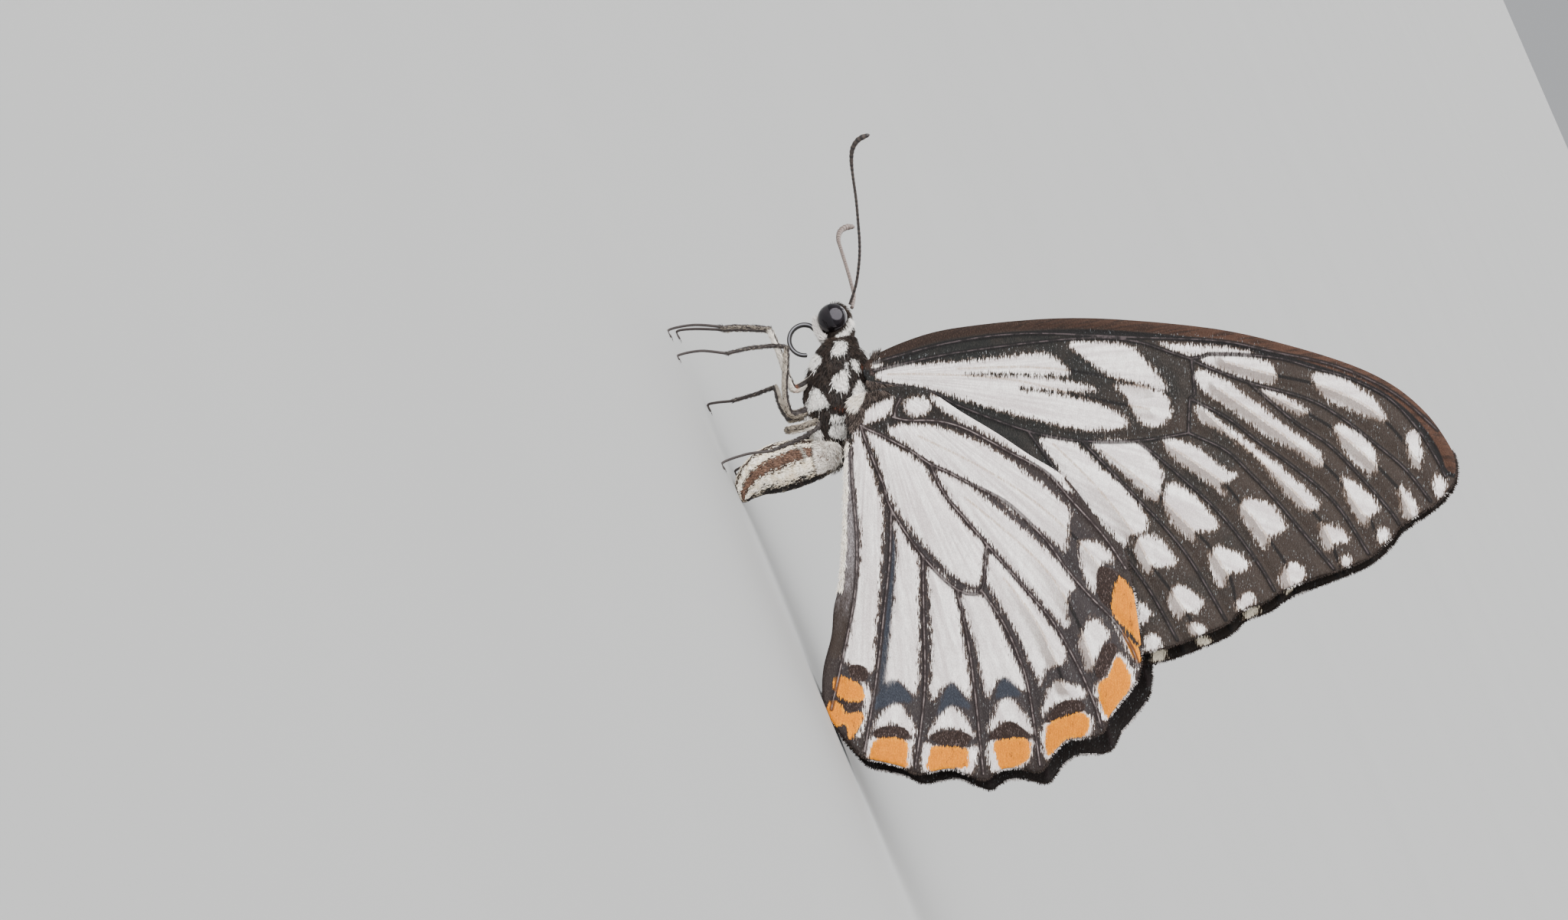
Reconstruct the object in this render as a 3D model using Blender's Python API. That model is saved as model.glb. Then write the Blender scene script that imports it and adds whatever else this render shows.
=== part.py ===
"""Common mime butterfly, a still life-size model at rest on a level surface with its wings closed.

Metres, +Z up, head towards -X, left side towards -Y. The side outlines are drawn on a grid whose
unit is GRID metres, seen from VIEW_TURN round from the left side, RISE above the floor and rolled
so that the floor runs at FLOOR_SLOPE from the grid's vertical. at() turns a grid point and a
sideways distance Y into a place on the model. The right side mirrors the left, except that its
feeler and legs stand a little differently.
"""

from math import ceil, cos, pi, radians, sin

import bmesh
import bpy
from mathutils import Vector
from mathutils.geometry import delaunay_2d_cdt

MM = 0.001
GAP = 0.3 * MM

# The side drawing: its scale, its view and where it lies on the floor
FOREWING_LENGTH = 52.0 * MM
FOREWING_UNITS = 783.0
GRID = FOREWING_LENGTH / FOREWING_UNITS
VIEW_TURN = radians(20)
RISE = radians(3)
FLOOR_SLOPE = radians(23.6)
FLOOR_POINT = (880, 440)
CENTRE_X = 21.67 * MM

# Wings
MEMBRANE = 0.5 * MM
VEIN_RISE = 0.12 * MM
VEIN_HALF = 0.45 * MM
FOREWING_OFF = 1.9 * MM
TIP_CLOSING = 1.4 * MM
CAMBER = 0.5 * MM
HINDWING_OUTSIDE = 1.1 * MM
HINDWING_CLOSING = 1.5 * MM
FOREWING_REAR = ((1150, 508), (1490, 843))
CLOSING_FROM, CLOSING_OVER = 45, 240
HINGE = 1138
WING_REACH = 760
MESH_STEP = 2.4 * MM
EDGE_STEP = 1.4 * MM
VEIN_STEP = 1.6 * MM
ROW_SPACING = sin(radians(60))

# Head
HEAD_AT = (1092, 420)
HEAD_LONG = 1.5 * MM
HEAD_DEEP = 1.35 * MM
HEAD_HALF = 0.65 * MM
HEAD_BALL = 1.6 * MM
EYE_AT = (1093, 422)
EYE_RADIUS = 1.26 * MM
EYE_BULGE = 1.15 * MM
PALP = [(1074, 444), (1067, 439), (1064, 430), (1064, 418)]
PALP_SIDE = 0.81 * MM
PALP_RADIUS = 0.26 * MM
TONGUE_RADIUS = 0.25 * MM
TONGUE_LOOP = 19.5
TONGUE_AT = (1052, 443.5)
TONGUE_ROOT = (1065, 431)
TONGUE_START = -62
TONGUE_SWEEP = 220
TONGUE_POINTS = 18
SHAFT_RADIUS = 0.25 * MM
CLUB_RADIUS = 0.34 * MM
ANTENNA_TIP = 0.2 * MM

FOREWING = [
    (1134, 470), (1206, 438), (1283, 424), (1385, 416), (1480, 419), (1592, 431), (1676, 450),
    (1760, 476), (1817, 504), (1859, 540), (1886, 578), (1896, 604), (1892, 630), (1875, 652),
    (1858, 664), (1845, 673), (1822, 688), (1808, 706), (1780, 728), (1744, 743), (1702, 757),
    (1666, 772), (1649, 784), (1615, 797), (1600, 811), (1571, 825), (1537, 838), (1514, 845),
    (1487, 850), (1462, 838), (1400, 778), (1310, 686), (1225, 592), (1160, 522), (1134, 500),
]
FOREWING_VEINS = [
    [(1142, 474), (1240, 448), (1340, 436), (1480, 441), (1592, 446), (1660, 460), (1733, 476),
     (1789, 498), (1831, 524), (1873, 562)],
    [(1142, 484), (1250, 461), (1400, 443), (1480, 446), (1555, 469), (1578, 463), (1660, 467),
     (1713, 481), (1761, 495), (1811, 521), (1845, 557), (1867, 591), (1883, 622)],
    [(1555, 469), (1567, 476), (1629, 500), (1704, 521), (1749, 546), (1789, 577), (1831, 613),
     (1863, 654)],
    [(1629, 500), (1688, 551), (1733, 582), (1777, 627), (1811, 667), (1822, 684)],
    [(1555, 469), (1559, 515), (1553, 521), (1551, 566)],
    [(1553, 521), (1601, 546), (1637, 574), (1676, 602), (1721, 638), (1749, 669), (1782, 722)],
    [(1551, 566), (1598, 588), (1631, 619), (1665, 655), (1693, 689), (1737, 742)],
    [(1145, 500), (1217, 512), (1252, 530), (1342, 563), (1412, 576), (1485, 576), (1551, 566)],
    [(1485, 576), (1536, 619), (1592, 672), (1637, 731), (1660, 770)],
    [(1412, 576), (1480, 647), (1522, 692), (1556, 737), (1597, 808)],
    [(1342, 563), (1372, 605), (1396, 642), (1462, 720), (1500, 772), (1534, 834)],
    [(1150, 508), (1250, 590), (1350, 690), (1430, 775), (1490, 843)],
]
HINDWING = [
    (1113, 519), (1150, 508), (1185, 505), (1215, 512), (1255, 538), (1300, 565), (1342, 593),
    (1393, 627), (1440, 690), (1465, 716), (1474, 750), (1482, 800), (1487, 843), (1486, 868),
    (1480, 888), (1461, 913), (1446, 932), (1437, 952), (1420, 960), (1394, 963), (1376, 977),
    (1357, 1003), (1336, 1001), (1314, 1000), (1298, 1006), (1284, 1015), (1264, 1009),
    (1240, 1001), (1215, 1005), (1195, 1007), (1178, 999), (1155, 993), (1127, 986),
    (1108, 968), (1091, 947), (1079, 927), (1074, 903), (1076, 870), (1086, 830), (1089, 795),
    (1096, 763), (1100, 719), (1102, 676), (1103, 640), (1104, 606), (1106, 575), (1107, 550),
    (1107, 533),
]
HINDWING_VEINS = [
    [(1125, 558), (1130, 574), (1141, 602), (1154, 634), (1164, 665), (1205, 726), (1249, 769),
     (1281, 770), (1287, 717), (1290, 713)],
    [(1124, 556), (1136, 562), (1150, 568), (1167, 577), (1191, 590), (1216, 607), (1239, 617),
     (1263, 630), (1294, 645), (1320, 661), (1364, 704), (1391, 742), (1421, 777), (1453, 810),
     (1476, 846), (1483, 868)],
    [(1176, 521), (1170, 534), (1169, 543)],
    [(1216, 609), (1233, 645), (1262, 680), (1290, 713), (1342, 773), (1374, 812), (1405, 867),
     (1426, 915), (1435, 946)],
    [(1281, 770), (1309, 812), (1329, 856), (1342, 900), (1356, 996)],
    [(1249, 769), (1262, 828), (1272, 900), (1283, 1008)],
    [(1205, 726), (1206, 795), (1207, 900), (1195, 1000)],
    [(1164, 665), (1162, 730), (1155, 795), (1145, 882), (1129, 980)],
    [(1112, 585), (1113, 620), (1116, 660), (1119, 700), (1119, 740), (1116, 780), (1109, 820),
     (1096, 880), (1086, 925)],
    [(1166, 545), (1184, 549), (1223, 550), (1255, 558), (1286, 573), (1318, 591), (1344, 604),
     (1370, 621), (1397, 652), (1440, 700), (1468, 742)],
]

# Body axis points: grid place, half depth and half width
THORAX = [
    ((1101, 447), 1.3, 1.3), ((1099, 453), 1.8, 1.7), ((1098, 463), 2.3, 2.1),
    ((1097, 466), 2.55, 2.2), ((1097, 478), 2.85, 2.6), ((1096, 496), 3.1, 2.9),
    ((1094, 516), 3.2, 3.0), ((1092, 536), 3.05, 2.9), ((1090, 554), 2.75, 2.6),
    ((1090, 568), 2.3, 2.2), ((1092, 578), 1.8, 1.7),
]
NECK_ROWS = 3
ABDOMEN = [
    ((1100, 589), 0.95, 1.1), ((1088, 590), 1.25, 1.45), ((1068, 598), 1.68, 1.8),
    ((1045, 604), 2.05, 2.1), ((1022, 609), 2.2, 2.15), ((1002, 616), 2.05, 2.05),
    ((985, 627), 1.65, 1.7), ((974, 641), 1.2, 1.2), ((971, 653), 0.8, 0.8),
]
ABDOMEN_CUTS = (0.0, 0.36, 0.68, 1.0)
RING_GAP = 1.6 * GAP
ROW_CLEAR = 0.15 * MM
THORAX_SIDES = 16
ABDOMEN_SIDES = 14

# Feelers: grid places with the distance from the middle plane in mm
LEFT_ANTENNA = [
    ((1110, 397), 0.55), ((1118, 372), 1.6), ((1122, 345), 2.9), ((1123, 320), 4.1),
    ((1121, 290), 5.5), ((1118, 258), 7.0), ((1114, 230), 8.4), ((1112, 208), 9.5),
    ((1114, 193), 10.2), ((1122, 182), 10.7), ((1136, 176), 11.0),
]
RIGHT_ANTENNA = [
    ((1113, 401), 0.55), ((1116, 386), 1.8), ((1112, 367), 3.5), ((1106, 345), 5.5),
    ((1100, 325), 7.5), ((1096, 310), 8.9), ((1098, 299), 9.9), ((1106, 293), 10.6),
    ((1118, 292), 11.0),
]
CLUB_FROM = 0.72
LIMB_STEP = 0.9 * MM
PALP_STEP = 0.5 * MM

# Legs: for each part its grid places with the distance from the middle plane in mm
LEFT_LEGS = {
    "front": {
        "coxa": [((1064, 494), 0.9), ((1040, 507), 1.5)],
        "femur": [((1031, 497), 2.2), ((1018, 461), 3.1), ((1007, 435), 3.7)],
        "tibia": [((1001, 428), 3.9), ((966, 426), 4.3), ((946, 427), 4.5)],
        "tarsus": [((939, 426), 4.6), ((905, 424), 4.9), ((886, 425), 5.1), ((880, 440), 5.3)],
    },
    "middle": {
        "coxa": [((1062, 533), 1.0), ((1036, 541), 1.7)],
        "femur": [((1028, 529), 2.4), ((1025, 505), 3.2), ((1027, 464), 4.3)],
        "tibia": [((1022, 452), 4.6), ((983, 454), 5.1), ((955, 460), 5.5)],
        "tarsus": [((948, 461), 5.6), ((915, 458), 6.1), ((897, 459), 6.4), ((891, 469), 6.6)],
    },
    "hind": {
        "coxa": [((1072, 552), 1.6), ((1048, 558), 2.2), ((1034, 561), 2.4)],
        "femur": [((1030, 561), 3.5), ((1048, 557), 3.8), ((1066, 551), 4.1)],
        "tibia": [((1066, 560), 4.6), ((1040, 575), 4.8), ((1012, 587), 5.2)],
        "tarsus": [((1005, 589), 5.4), ((975, 593), 5.9), ((958, 598), 6.3), ((955, 610), 6.6)],
    },
}
RIGHT_LEGS = {
    "front": {
        "coxa": [((1064, 494), 0.9), ((1040, 507), 1.5)],
        "femur": [((1031, 497), 2.2), ((1019, 463), 3.1), ((1009, 438), 3.7)],
        "tibia": [((1003, 431), 3.9), ((967, 429), 4.3), ((947, 430), 4.5)],
        "tarsus": [((940, 429), 4.6), ((905, 428), 4.9), ((888, 429), 5.1), ((883, 444), 5.3)],
    },
    "middle": {
        "coxa": [((1062, 538), 1.0), ((1036, 546), 1.7)],
        "femur": [((1030, 545), 2.1), ((1020, 529), 3.0), ((1014, 508), 3.9)],
        "tibia": [((1009, 506), 4.4), ((987, 514), 4.8), ((962, 521), 5.2)],
        "tarsus": [((955, 523), 5.3), ((935, 525), 5.7), ((922, 529), 6.0), ((923, 540), 6.3)],
    },
    "hind": {
        "coxa": [((1076, 570), 1.6), ((1052, 577), 2.2), ((1038, 580), 2.4)],
        "femur": [((1032, 580), 3.5), ((1050, 576), 3.8), ((1068, 570), 4.1)],
        "tibia": [((1066, 569), 5.0), ((1040, 583), 5.1), ((1015, 596), 5.3)],
        "tarsus": [((1008, 599), 5.4), ((980, 606), 5.9), ((966, 612), 6.3), ((964, 624), 6.6)],
    },
}
FOOT_HEIGHT = 0.16 * MM
LIMB_RADII = {"coxa": (0.5, 0.4), "femur": (0.36, 0.3), "tibia": (0.27, 0.3), "tarsus": (0.27, 0.25)}

COLOURS = {
    "black": (0.035, 0.03, 0.028, 1), "white": (0.82, 0.8, 0.76, 1), "cream": (0.85, 0.78, 0.62, 1),
    "eye": (0.01, 0.01, 0.012, 1), "grey": (0.25, 0.22, 0.19, 1),
}


def at(place, y):
    """The point of the model that the side drawing shows at a grid place, y from the middle plane."""
    right = (place[0] - FLOOR_POINT[0]) * GRID
    down = (place[1] - FLOOR_POINT[1]) * GRID
    level = right * sin(FLOOR_SLOPE) + down * cos(FLOOR_SLOPE)
    height = right * cos(FLOOR_SLOPE) - down * sin(FLOOR_SLOPE)
    x = (level - y * sin(VIEW_TURN)) / cos(VIEW_TURN)
    z = (height + (x * sin(VIEW_TURN) - y * cos(VIEW_TURN)) * sin(RISE)) / cos(RISE)
    return Vector((x - CENTRE_X, y, z))


def material(kind, roughness=0.7):
    """One plain finish of the named colour."""
    mat = bpy.data.materials.new(kind)
    mat.use_nodes = True
    shader = mat.node_tree.nodes["Principled BSDF"]
    shader.inputs["Base Color"].default_value = COLOURS[kind]
    shader.inputs["Roughness"].default_value = roughness
    shader.inputs["Metallic"].default_value = 0.0
    return mat


def add_object(name, mesh, colour):
    """Links a finished mesh as one named part with its own material."""
    obj = bpy.data.objects.new(name, mesh)
    bpy.data.collections["common_mime"].objects.link(obj)
    mesh.materials.clear()
    mesh.materials.append(material(colour))
    mesh.materials[0].name = name
    return obj


def bmesh_object(name, bm, colour):
    """Turns a bmesh into a named part with its faces pointing out."""
    bmesh.ops.recalc_face_normals(bm, faces=bm.faces)
    mesh = bpy.data.meshes.new(name)
    bm.to_mesh(mesh)
    bm.free()
    return add_object(name, mesh, colour)


def catmull(points, step):
    """Points about a step apart on the smooth curve through the given vectors."""
    out = []
    for i in range(len(points) - 1):
        a = points[max(i - 1, 0)]
        b, c = points[i], points[i + 1]
        d = points[min(i + 2, len(points) - 1)]
        count = max(1, round((c - b).length / step))
        for k in range(count):
            t = k / count
            out.append(0.5 * (2 * b + (c - a) * t + (2 * a - 5 * b + 4 * c - d) * t * t
                              + (3 * b - a - 3 * c + d) * t ** 3))
    out.append(points[-1].copy())
    return out


def loft(bm, rows, sides):
    """A closed skin over elliptical rows: each row is centre, direction, half depth, half width."""
    rings = []
    for centre, along, deep, wide in rows:
        across = Vector((0, 1, 0))
        up = along.cross(across).normalized()
        ring = []
        for k in range(sides):
            turn = 2 * pi * (k + 0.5) / sides
            ring.append(bm.verts.new(centre + across * wide * cos(turn) + up * deep * sin(turn)))
        rings.append(ring)
    for one, two in zip(rings, rings[1:]):
        for k in range(sides):
            bm.faces.new((one[k], one[(k + 1) % sides], two[(k + 1) % sides], two[k]))
    bm.faces.new(rings[0])
    bm.faces.new(rings[-1])


def body_rows(table, grow=0.0):
    """Rows for loft() from a table of grid place, half depth and half width in mm."""
    centres = [at(place, 0) for place, deep, wide in table]
    rows = []
    for i, (place, deep, wide) in enumerate(table):
        before, after = centres[max(i - 1, 0)], centres[min(i + 1, len(table) - 1)]
        rows.append((centres[i], (after - before).normalized(), deep * MM + grow, wide * MM + grow))
    return rows


def stretch(rows, start, end):
    """The part of a row list between two shares of its length, with rows added at both cuts."""
    lengths = [0.0]
    for one, two in zip(rows, rows[1:]):
        lengths.append(lengths[-1] + (two[0] - one[0]).length)

    def row_at(share):
        want = share * lengths[-1]
        for i in range(len(rows) - 1):
            if want <= lengths[i + 1] or i == len(rows) - 2:
                t = (want - lengths[i]) / (lengths[i + 1] - lengths[i])
                one, two = rows[i], rows[i + 1]
                return (one[0].lerp(two[0], t), one[1].lerp(two[1], t).normalized(),
                        one[2] + (two[2] - one[2]) * t, one[3] + (two[3] - one[3]) * t)

    inside = [r for r, l in zip(rows, lengths)
              if start * lengths[-1] + ROW_CLEAR < l < end * lengths[-1] - ROW_CLEAR]
    return [row_at(start)] + inside + [row_at(end)], lengths[-1]


def make_thorax():
    """The neck ring and the thorax, with a thin cut between them."""
    rows = body_rows(THORAX)
    bm = bmesh.new()
    loft(bm, rows[:NECK_ROWS], THORAX_SIDES)
    neck = bmesh_object("prothorax", bm, "black")
    bm = bmesh.new()
    first = rows[NECK_ROWS]
    moved = (rows[NECK_ROWS - 1][0] + rows[NECK_ROWS - 1][1] * GAP, rows[NECK_ROWS - 1][1],
             first[2], first[3])
    loft(bm, [moved] + rows[NECK_ROWS + 1:], THORAX_SIDES)
    thorax = bmesh_object("thorax", bm, "black")
    return neck, thorax


def make_abdomen():
    """The abdomen in three lengths that bend down to the floor."""
    rows = body_rows(ABDOMEN)
    names = ("abdomen_base", "abdomen_middle", "abdomen_tip")
    pieces = []
    for name, start, end in zip(names, ABDOMEN_CUTS, ABDOMEN_CUTS[1:]):
        length = stretch(rows, 0, 1)[1]
        shift = RING_GAP / length if start > 0 else 0.0
        part, _ = stretch(rows, start + shift, end)
        bm = bmesh.new()
        loft(bm, part, ABDOMEN_SIDES)
        for v in bm.verts:
            v.co.z = max(v.co.z, 0.0)
        pieces.append(bmesh_object(name, bm, "cream"))
    return pieces


def ball(name, centre, half, colour, cuts=()):
    """An ellipsoid cut flat by planes, each a point and a direction whose side is taken away."""
    bm = bmesh.new()
    bmesh.ops.create_uvsphere(bm, u_segments=18, v_segments=12, radius=1.0)
    for v in bm.verts:
        v.co = centre + Vector((v.co.x * half[0], v.co.y * half[1], v.co.z * half[2]))
    for point, way in cuts:
        cut = bmesh.ops.bisect_plane(bm, geom=bm.verts[:] + bm.edges[:] + bm.faces[:],
                                     plane_co=point, plane_no=way, clear_outer=True)
        rim = [e for e in cut["geom_cut"] if isinstance(e, bmesh.types.BMEdge)]
        bmesh.ops.edgeloop_fill(bm, edges=rim)
    return bmesh_object(name, bm, colour)


def make_head():
    """The head between two flats, and an eye against each flat."""
    centre = at(HEAD_AT, 0)
    sides = [(Vector((0, s * HEAD_HALF, 0)), Vector((0, s, 0))) for s in (-1, 1)]
    ball("head", centre, (HEAD_LONG, HEAD_BALL, HEAD_DEEP), "black", sides)
    for name, s in (("eye_left", -1), ("eye_right", 1)):
        inner = s * (HEAD_HALF + GAP)
        middle = at(EYE_AT, 0)
        middle.y = inner
        ball(name, middle, (EYE_RADIUS, EYE_BULGE, EYE_RADIUS), "eye",
             [(Vector((0, inner, 0)), Vector((0, -s, 0)))])


def tube(name, points, radii, colour, sides=8):
    """A round bar through points, its radius running through the list radii."""
    data = bpy.data.curves.new(name, "CURVE")
    data.dimensions = "3D"
    data.bevel_depth = 1.0
    data.bevel_resolution = sides // 2 - 2
    data.use_fill_caps = True
    spline = data.splines.new("POLY")
    spline.points.add(len(points) - 1)
    for i, (point, radius) in enumerate(zip(points, radii)):
        spline.points[i].co = (*point, 1.0)
        spline.points[i].radius = radius
    guide = bpy.data.objects.new(name + "_path", data)
    bpy.context.scene.collection.objects.link(guide)
    graph = bpy.context.evaluated_depsgraph_get()
    mesh = bpy.data.meshes.new_from_object(guide.evaluated_get(graph))
    bpy.data.objects.remove(guide)
    bm = bmesh.new()
    bm.from_mesh(mesh)
    bmesh.ops.remove_doubles(bm, verts=bm.verts, dist=1e-7)
    for v in bm.verts:
        v.co.z = max(v.co.z, 0.0)
    return bmesh_object(name, bm, colour)


def mix(values, share):
    """The value at a share of the way through a short list."""
    place = share * (len(values) - 1)
    i = min(int(place), len(values) - 2)
    return values[i] + (values[i + 1] - values[i]) * (place - i)


def make_mouth():
    """The palps up the face and the tongue in its loop between them."""
    for name, s in (("palp_left", -1), ("palp_right", 1)):
        way = catmull([at(p, 0) + Vector((0, s * PALP_SIDE, 0)) for p in PALP], PALP_STEP)
        tube(name, way, [PALP_RADIUS] * len(way), "white")
    ring = []
    for k in range(TONGUE_POINTS):
        turn = radians(TONGUE_START - TONGUE_SWEEP * k / (TONGUE_POINTS - 1))
        ring.append(at((TONGUE_AT[0] + TONGUE_LOOP * cos(turn),
                        TONGUE_AT[1] + TONGUE_LOOP * sin(turn)), 0))
    ring.insert(0, at(TONGUE_ROOT, 0))
    tube("proboscis", ring, [TONGUE_RADIUS] * len(ring), "black")


def make_antennae():
    """Both feelers, which thicken to a hooked club."""
    for name, places, s in (("antenna_left", LEFT_ANTENNA, -1), ("antenna_right", RIGHT_ANTENNA, 1)):
        points = catmull([at(p, s * y * MM) for p, y in places], LIMB_STEP)
        radii = []
        for i in range(len(points)):
            share = i / (len(points) - 1)
            grown = max(0.0, (share - CLUB_FROM) / (1 - CLUB_FROM))
            radii.append(SHAFT_RADIUS + (CLUB_RADIUS - SHAFT_RADIUS) * sin(pi / 2 * grown))
        radii[-1] = ANTENNA_TIP
        tube(name, points, radii, "black")


def make_legs():
    """Six legs of coxa, femur, tibia and tarsus, with gaps at the joints."""
    for side, legs, s in (("left", LEFT_LEGS, -1), ("right", RIGHT_LEGS, 1)):
        for leg, parts in legs.items():
            for part, way in parts.items():
                points = [at(p, s * y * MM) for p, y in way]
                if part == "tarsus":
                    for sole in points[-2:]:
                        sole.z = FOOT_HEIGHT
                points = catmull(points, LIMB_STEP)
                first, last = LIMB_RADII[part]
                radii = [(first + (last - first) * i / (len(points) - 1)) * MM
                         for i in range(len(points))]
                tube(f"leg_{leg}_{side}_{part}", points, radii, "grey")


def wing_off(place):
    """How far a forewing's middle sheet stands from the middle plane at a grid place."""
    share = (place[0] - HINGE) / WING_REACH
    return FOREWING_OFF - TIP_CLOSING * share + CAMBER * sin(pi * share)


def hindwing_off(place):
    """The same for a hindwing: outside the forewing, and closing behind its rear edge."""
    start, end = (Vector(p) for p in FOREWING_REAR)
    edge = (end - start).normalized()
    behind = (Vector(place) - start).dot(Vector((-edge.y, edge.x)))
    share = max(0.0, min(1.0, (behind - CLOSING_FROM) / CLOSING_OVER))
    return wing_off(place) + HINDWING_OUTSIDE - HINDWING_CLOSING * share * share * (3 - 2 * share)


def nearest_on(line, p):
    """The distance from a point to a chain of points, in the drawing's units."""
    best = 1e9
    for a, b in zip(line, line[1:]):
        way = b - a
        t = max(0.0, min(1.0, (p - a).dot(way) / way.length_squared))
        best = min(best, (a + way * t - p).length)
    return best


def inside(outline, p):
    """Whether a point lies inside a closed outline."""
    found = False
    for a, b in zip(outline, outline[1:] + outline[:1]):
        if (a.y > p.y) != (b.y > p.y) and p.x < (b.x - a.x) * (p.y - a.y) / (b.y - a.y) + a.x:
            found = not found
    return found


def sheet_mesh(outline, veins):
    """Triangles over an outline with the veins as edges and even points between them."""
    edge = catmull([Vector(p) for p in outline + outline[:1]], EDGE_STEP / GRID)[:-1]
    lines = [catmull([Vector(p) for p in vein], VEIN_STEP / GRID) for vein in veins]
    points, edges = list(edge), [(i, (i + 1) % len(edge)) for i in range(len(edge))]

    def index(p):
        for i, q in enumerate(points):
            if (q - p).length < 2.0:
                return i
        points.append(p)
        return len(points) - 1

    for line in lines:
        chain = [index(p) for p in line if inside(edge, p)]
        edges += [(a, b) for a, b in zip(chain, chain[1:]) if a != b]
    half, clear = VEIN_HALF / GRID, 0.8 * VEIN_HALF / GRID
    for line in lines:
        for a, b in zip(line, line[1:]):
            way = (b - a).normalized()
            for s in (-1, 1):
                p = (a + b) / 2 + Vector((-way.y, way.x)) * s * half
                if inside(edge, p) and min((q - p).length for q in points) > clear:
                    points.append(p)
    step = MESH_STEP / GRID
    low = [min(p[i] for p in edge) for i in (0, 1)]
    high = [max(p[i] for p in edge) for i in (0, 1)]
    for j in range(ceil((high[1] - low[1]) / (step * ROW_SPACING))):
        for i in range(ceil((high[0] - low[0]) / step)):
            p = Vector((low[0] + step * (i + 0.5 * (j % 2)), low[1] + step * ROW_SPACING * j))
            if inside(edge, p) and min((q - p).length for q in points) > 0.55 * step:
                points.append(p)
    flat, _, faces, *_ = delaunay_2d_cdt(points, edges, [], 1, 1e-4)
    return flat, faces, lines


def wing(name, outline, veins, side, off):
    """One wing: the same triangles on both faces, thicker over the veins, and a rim between.

    off gives how far its middle sheet stands from the middle plane.
    """
    flat, faces, lines = sheet_mesh(outline, veins)
    bm = bmesh.new()
    over, under = [], []
    for p in flat:
        near = min(nearest_on(line, p) for line in lines) * GRID
        half = MEMBRANE / 2 + VEIN_RISE * max(0.0, 1 - near / VEIN_HALF)
        middle = at(p, -off(p))
        middle.z = max(middle.z, 0.0)
        for sheet, shift in ((over, -half), (under, half)):
            sheet.append(bm.verts.new((middle.x, -side * (middle.y + shift), middle.z)))
    rim = {}
    for face in faces:
        bm.faces.new([over[i] for i in face])
        bm.faces.new([under[i] for i in reversed(face)])
        for a, b in zip(face, list(face[1:]) + [face[0]]):
            rim[(a, b)] = rim.get((a, b), 0) + 1
            rim[(b, a)] = rim.get((b, a), 0) - 1
    for (a, b), count in rim.items():
        if count == 1:
            bm.faces.new((over[b], over[a], under[a]))
            bm.faces.new((over[b], under[a], under[b]))
    return bmesh_object(name, bm, "white")


def make_wings():
    """Four wings: the hindwings lie outside the forewings."""
    for name, side in (("left", -1), ("right", 1)):
        wing(f"forewing_{name}", FOREWING, FOREWING_VEINS, side, wing_off)
        wing(f"hindwing_{name}", HINDWING, HINDWING_VEINS, side, hindwing_off)


def clear_of_body(name, rows):
    """Cuts a part back so that it meets the body with a gap."""
    first, last = rows[0], rows[-1]
    start = (first[0] - first[1] * GAP, *first[1:])
    end = (last[0] + last[1] * GAP, *last[1:])
    bm = bmesh.new()
    loft(bm, [start] + rows[1:-1] + [end], THORAX_SIDES)
    bmesh.ops.recalc_face_normals(bm, faces=bm.faces)
    mesh = bpy.data.meshes.new(name + "_clearance")
    bm.to_mesh(mesh)
    bm.free()
    cutter = bpy.data.objects.new(name + "_clearance", mesh)
    bpy.data.collections["cutters"].objects.link(cutter)
    cutter.hide_render = True
    cutter.display_type = "WIRE"
    cut = bpy.data.objects[name].modifiers.new("body_gap", "BOOLEAN")
    cut.operation = "DIFFERENCE"
    cut.object = cutter


def main():
    for obj in list(bpy.data.objects):
        bpy.data.objects.remove(obj)
    for name in ("common_mime", "cutters"):
        bpy.context.scene.collection.children.link(bpy.data.collections.new(name))
    make_thorax()
    make_abdomen()
    make_head()
    make_mouth()
    make_antennae()
    make_legs()
    make_wings()
    rows = body_rows(THORAX, GAP)
    clear_of_body("abdomen_base", rows)
    for side in ("left", "right"):
        for leg in ("front", "middle", "hind"):
            clear_of_body(f"leg_{leg}_{side}_coxa", rows)


main()
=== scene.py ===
"""Common mime butterfly, a still life-size model at rest with its wings closed: its finish.

Outlines are drawn on the side drawing's grid, whose unit is GRID metres. at() turns a grid place
and a sideways distance into a place on the model. The right side mirrors the left, except that
its feeler and its legs stand a little differently.
"""

from math import cos, pi, radians, sin
from types import SimpleNamespace

import bmesh
import bpy
import numpy as np
from mathutils import Matrix, Vector
from mathutils.geometry import delaunay_2d_cdt


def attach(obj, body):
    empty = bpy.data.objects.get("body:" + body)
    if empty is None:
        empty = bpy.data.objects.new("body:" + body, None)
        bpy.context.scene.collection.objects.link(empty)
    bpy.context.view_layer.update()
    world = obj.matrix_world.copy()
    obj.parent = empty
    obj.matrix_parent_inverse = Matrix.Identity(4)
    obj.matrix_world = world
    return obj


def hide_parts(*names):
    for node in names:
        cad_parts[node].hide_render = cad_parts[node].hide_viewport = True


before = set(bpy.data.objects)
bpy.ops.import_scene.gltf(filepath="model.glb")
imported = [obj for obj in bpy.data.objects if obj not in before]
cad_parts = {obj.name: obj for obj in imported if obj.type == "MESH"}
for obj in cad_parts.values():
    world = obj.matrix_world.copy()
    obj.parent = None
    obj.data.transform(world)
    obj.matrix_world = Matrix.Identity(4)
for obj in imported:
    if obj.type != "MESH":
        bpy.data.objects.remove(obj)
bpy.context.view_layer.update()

# The side drawing: its scale, its view and where it lies on the floor
MM = 0.001
GRID = 52.0 * MM / 783.0
VIEW_TURN = radians(20)
RISE = radians(3)
FLOOR_SLOPE = radians(23.6)
FLOOR_POINT = (880, 440)
CENTRE_X = 21.67 * MM
SIDES = (("left", -1), ("right", 1))

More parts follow.
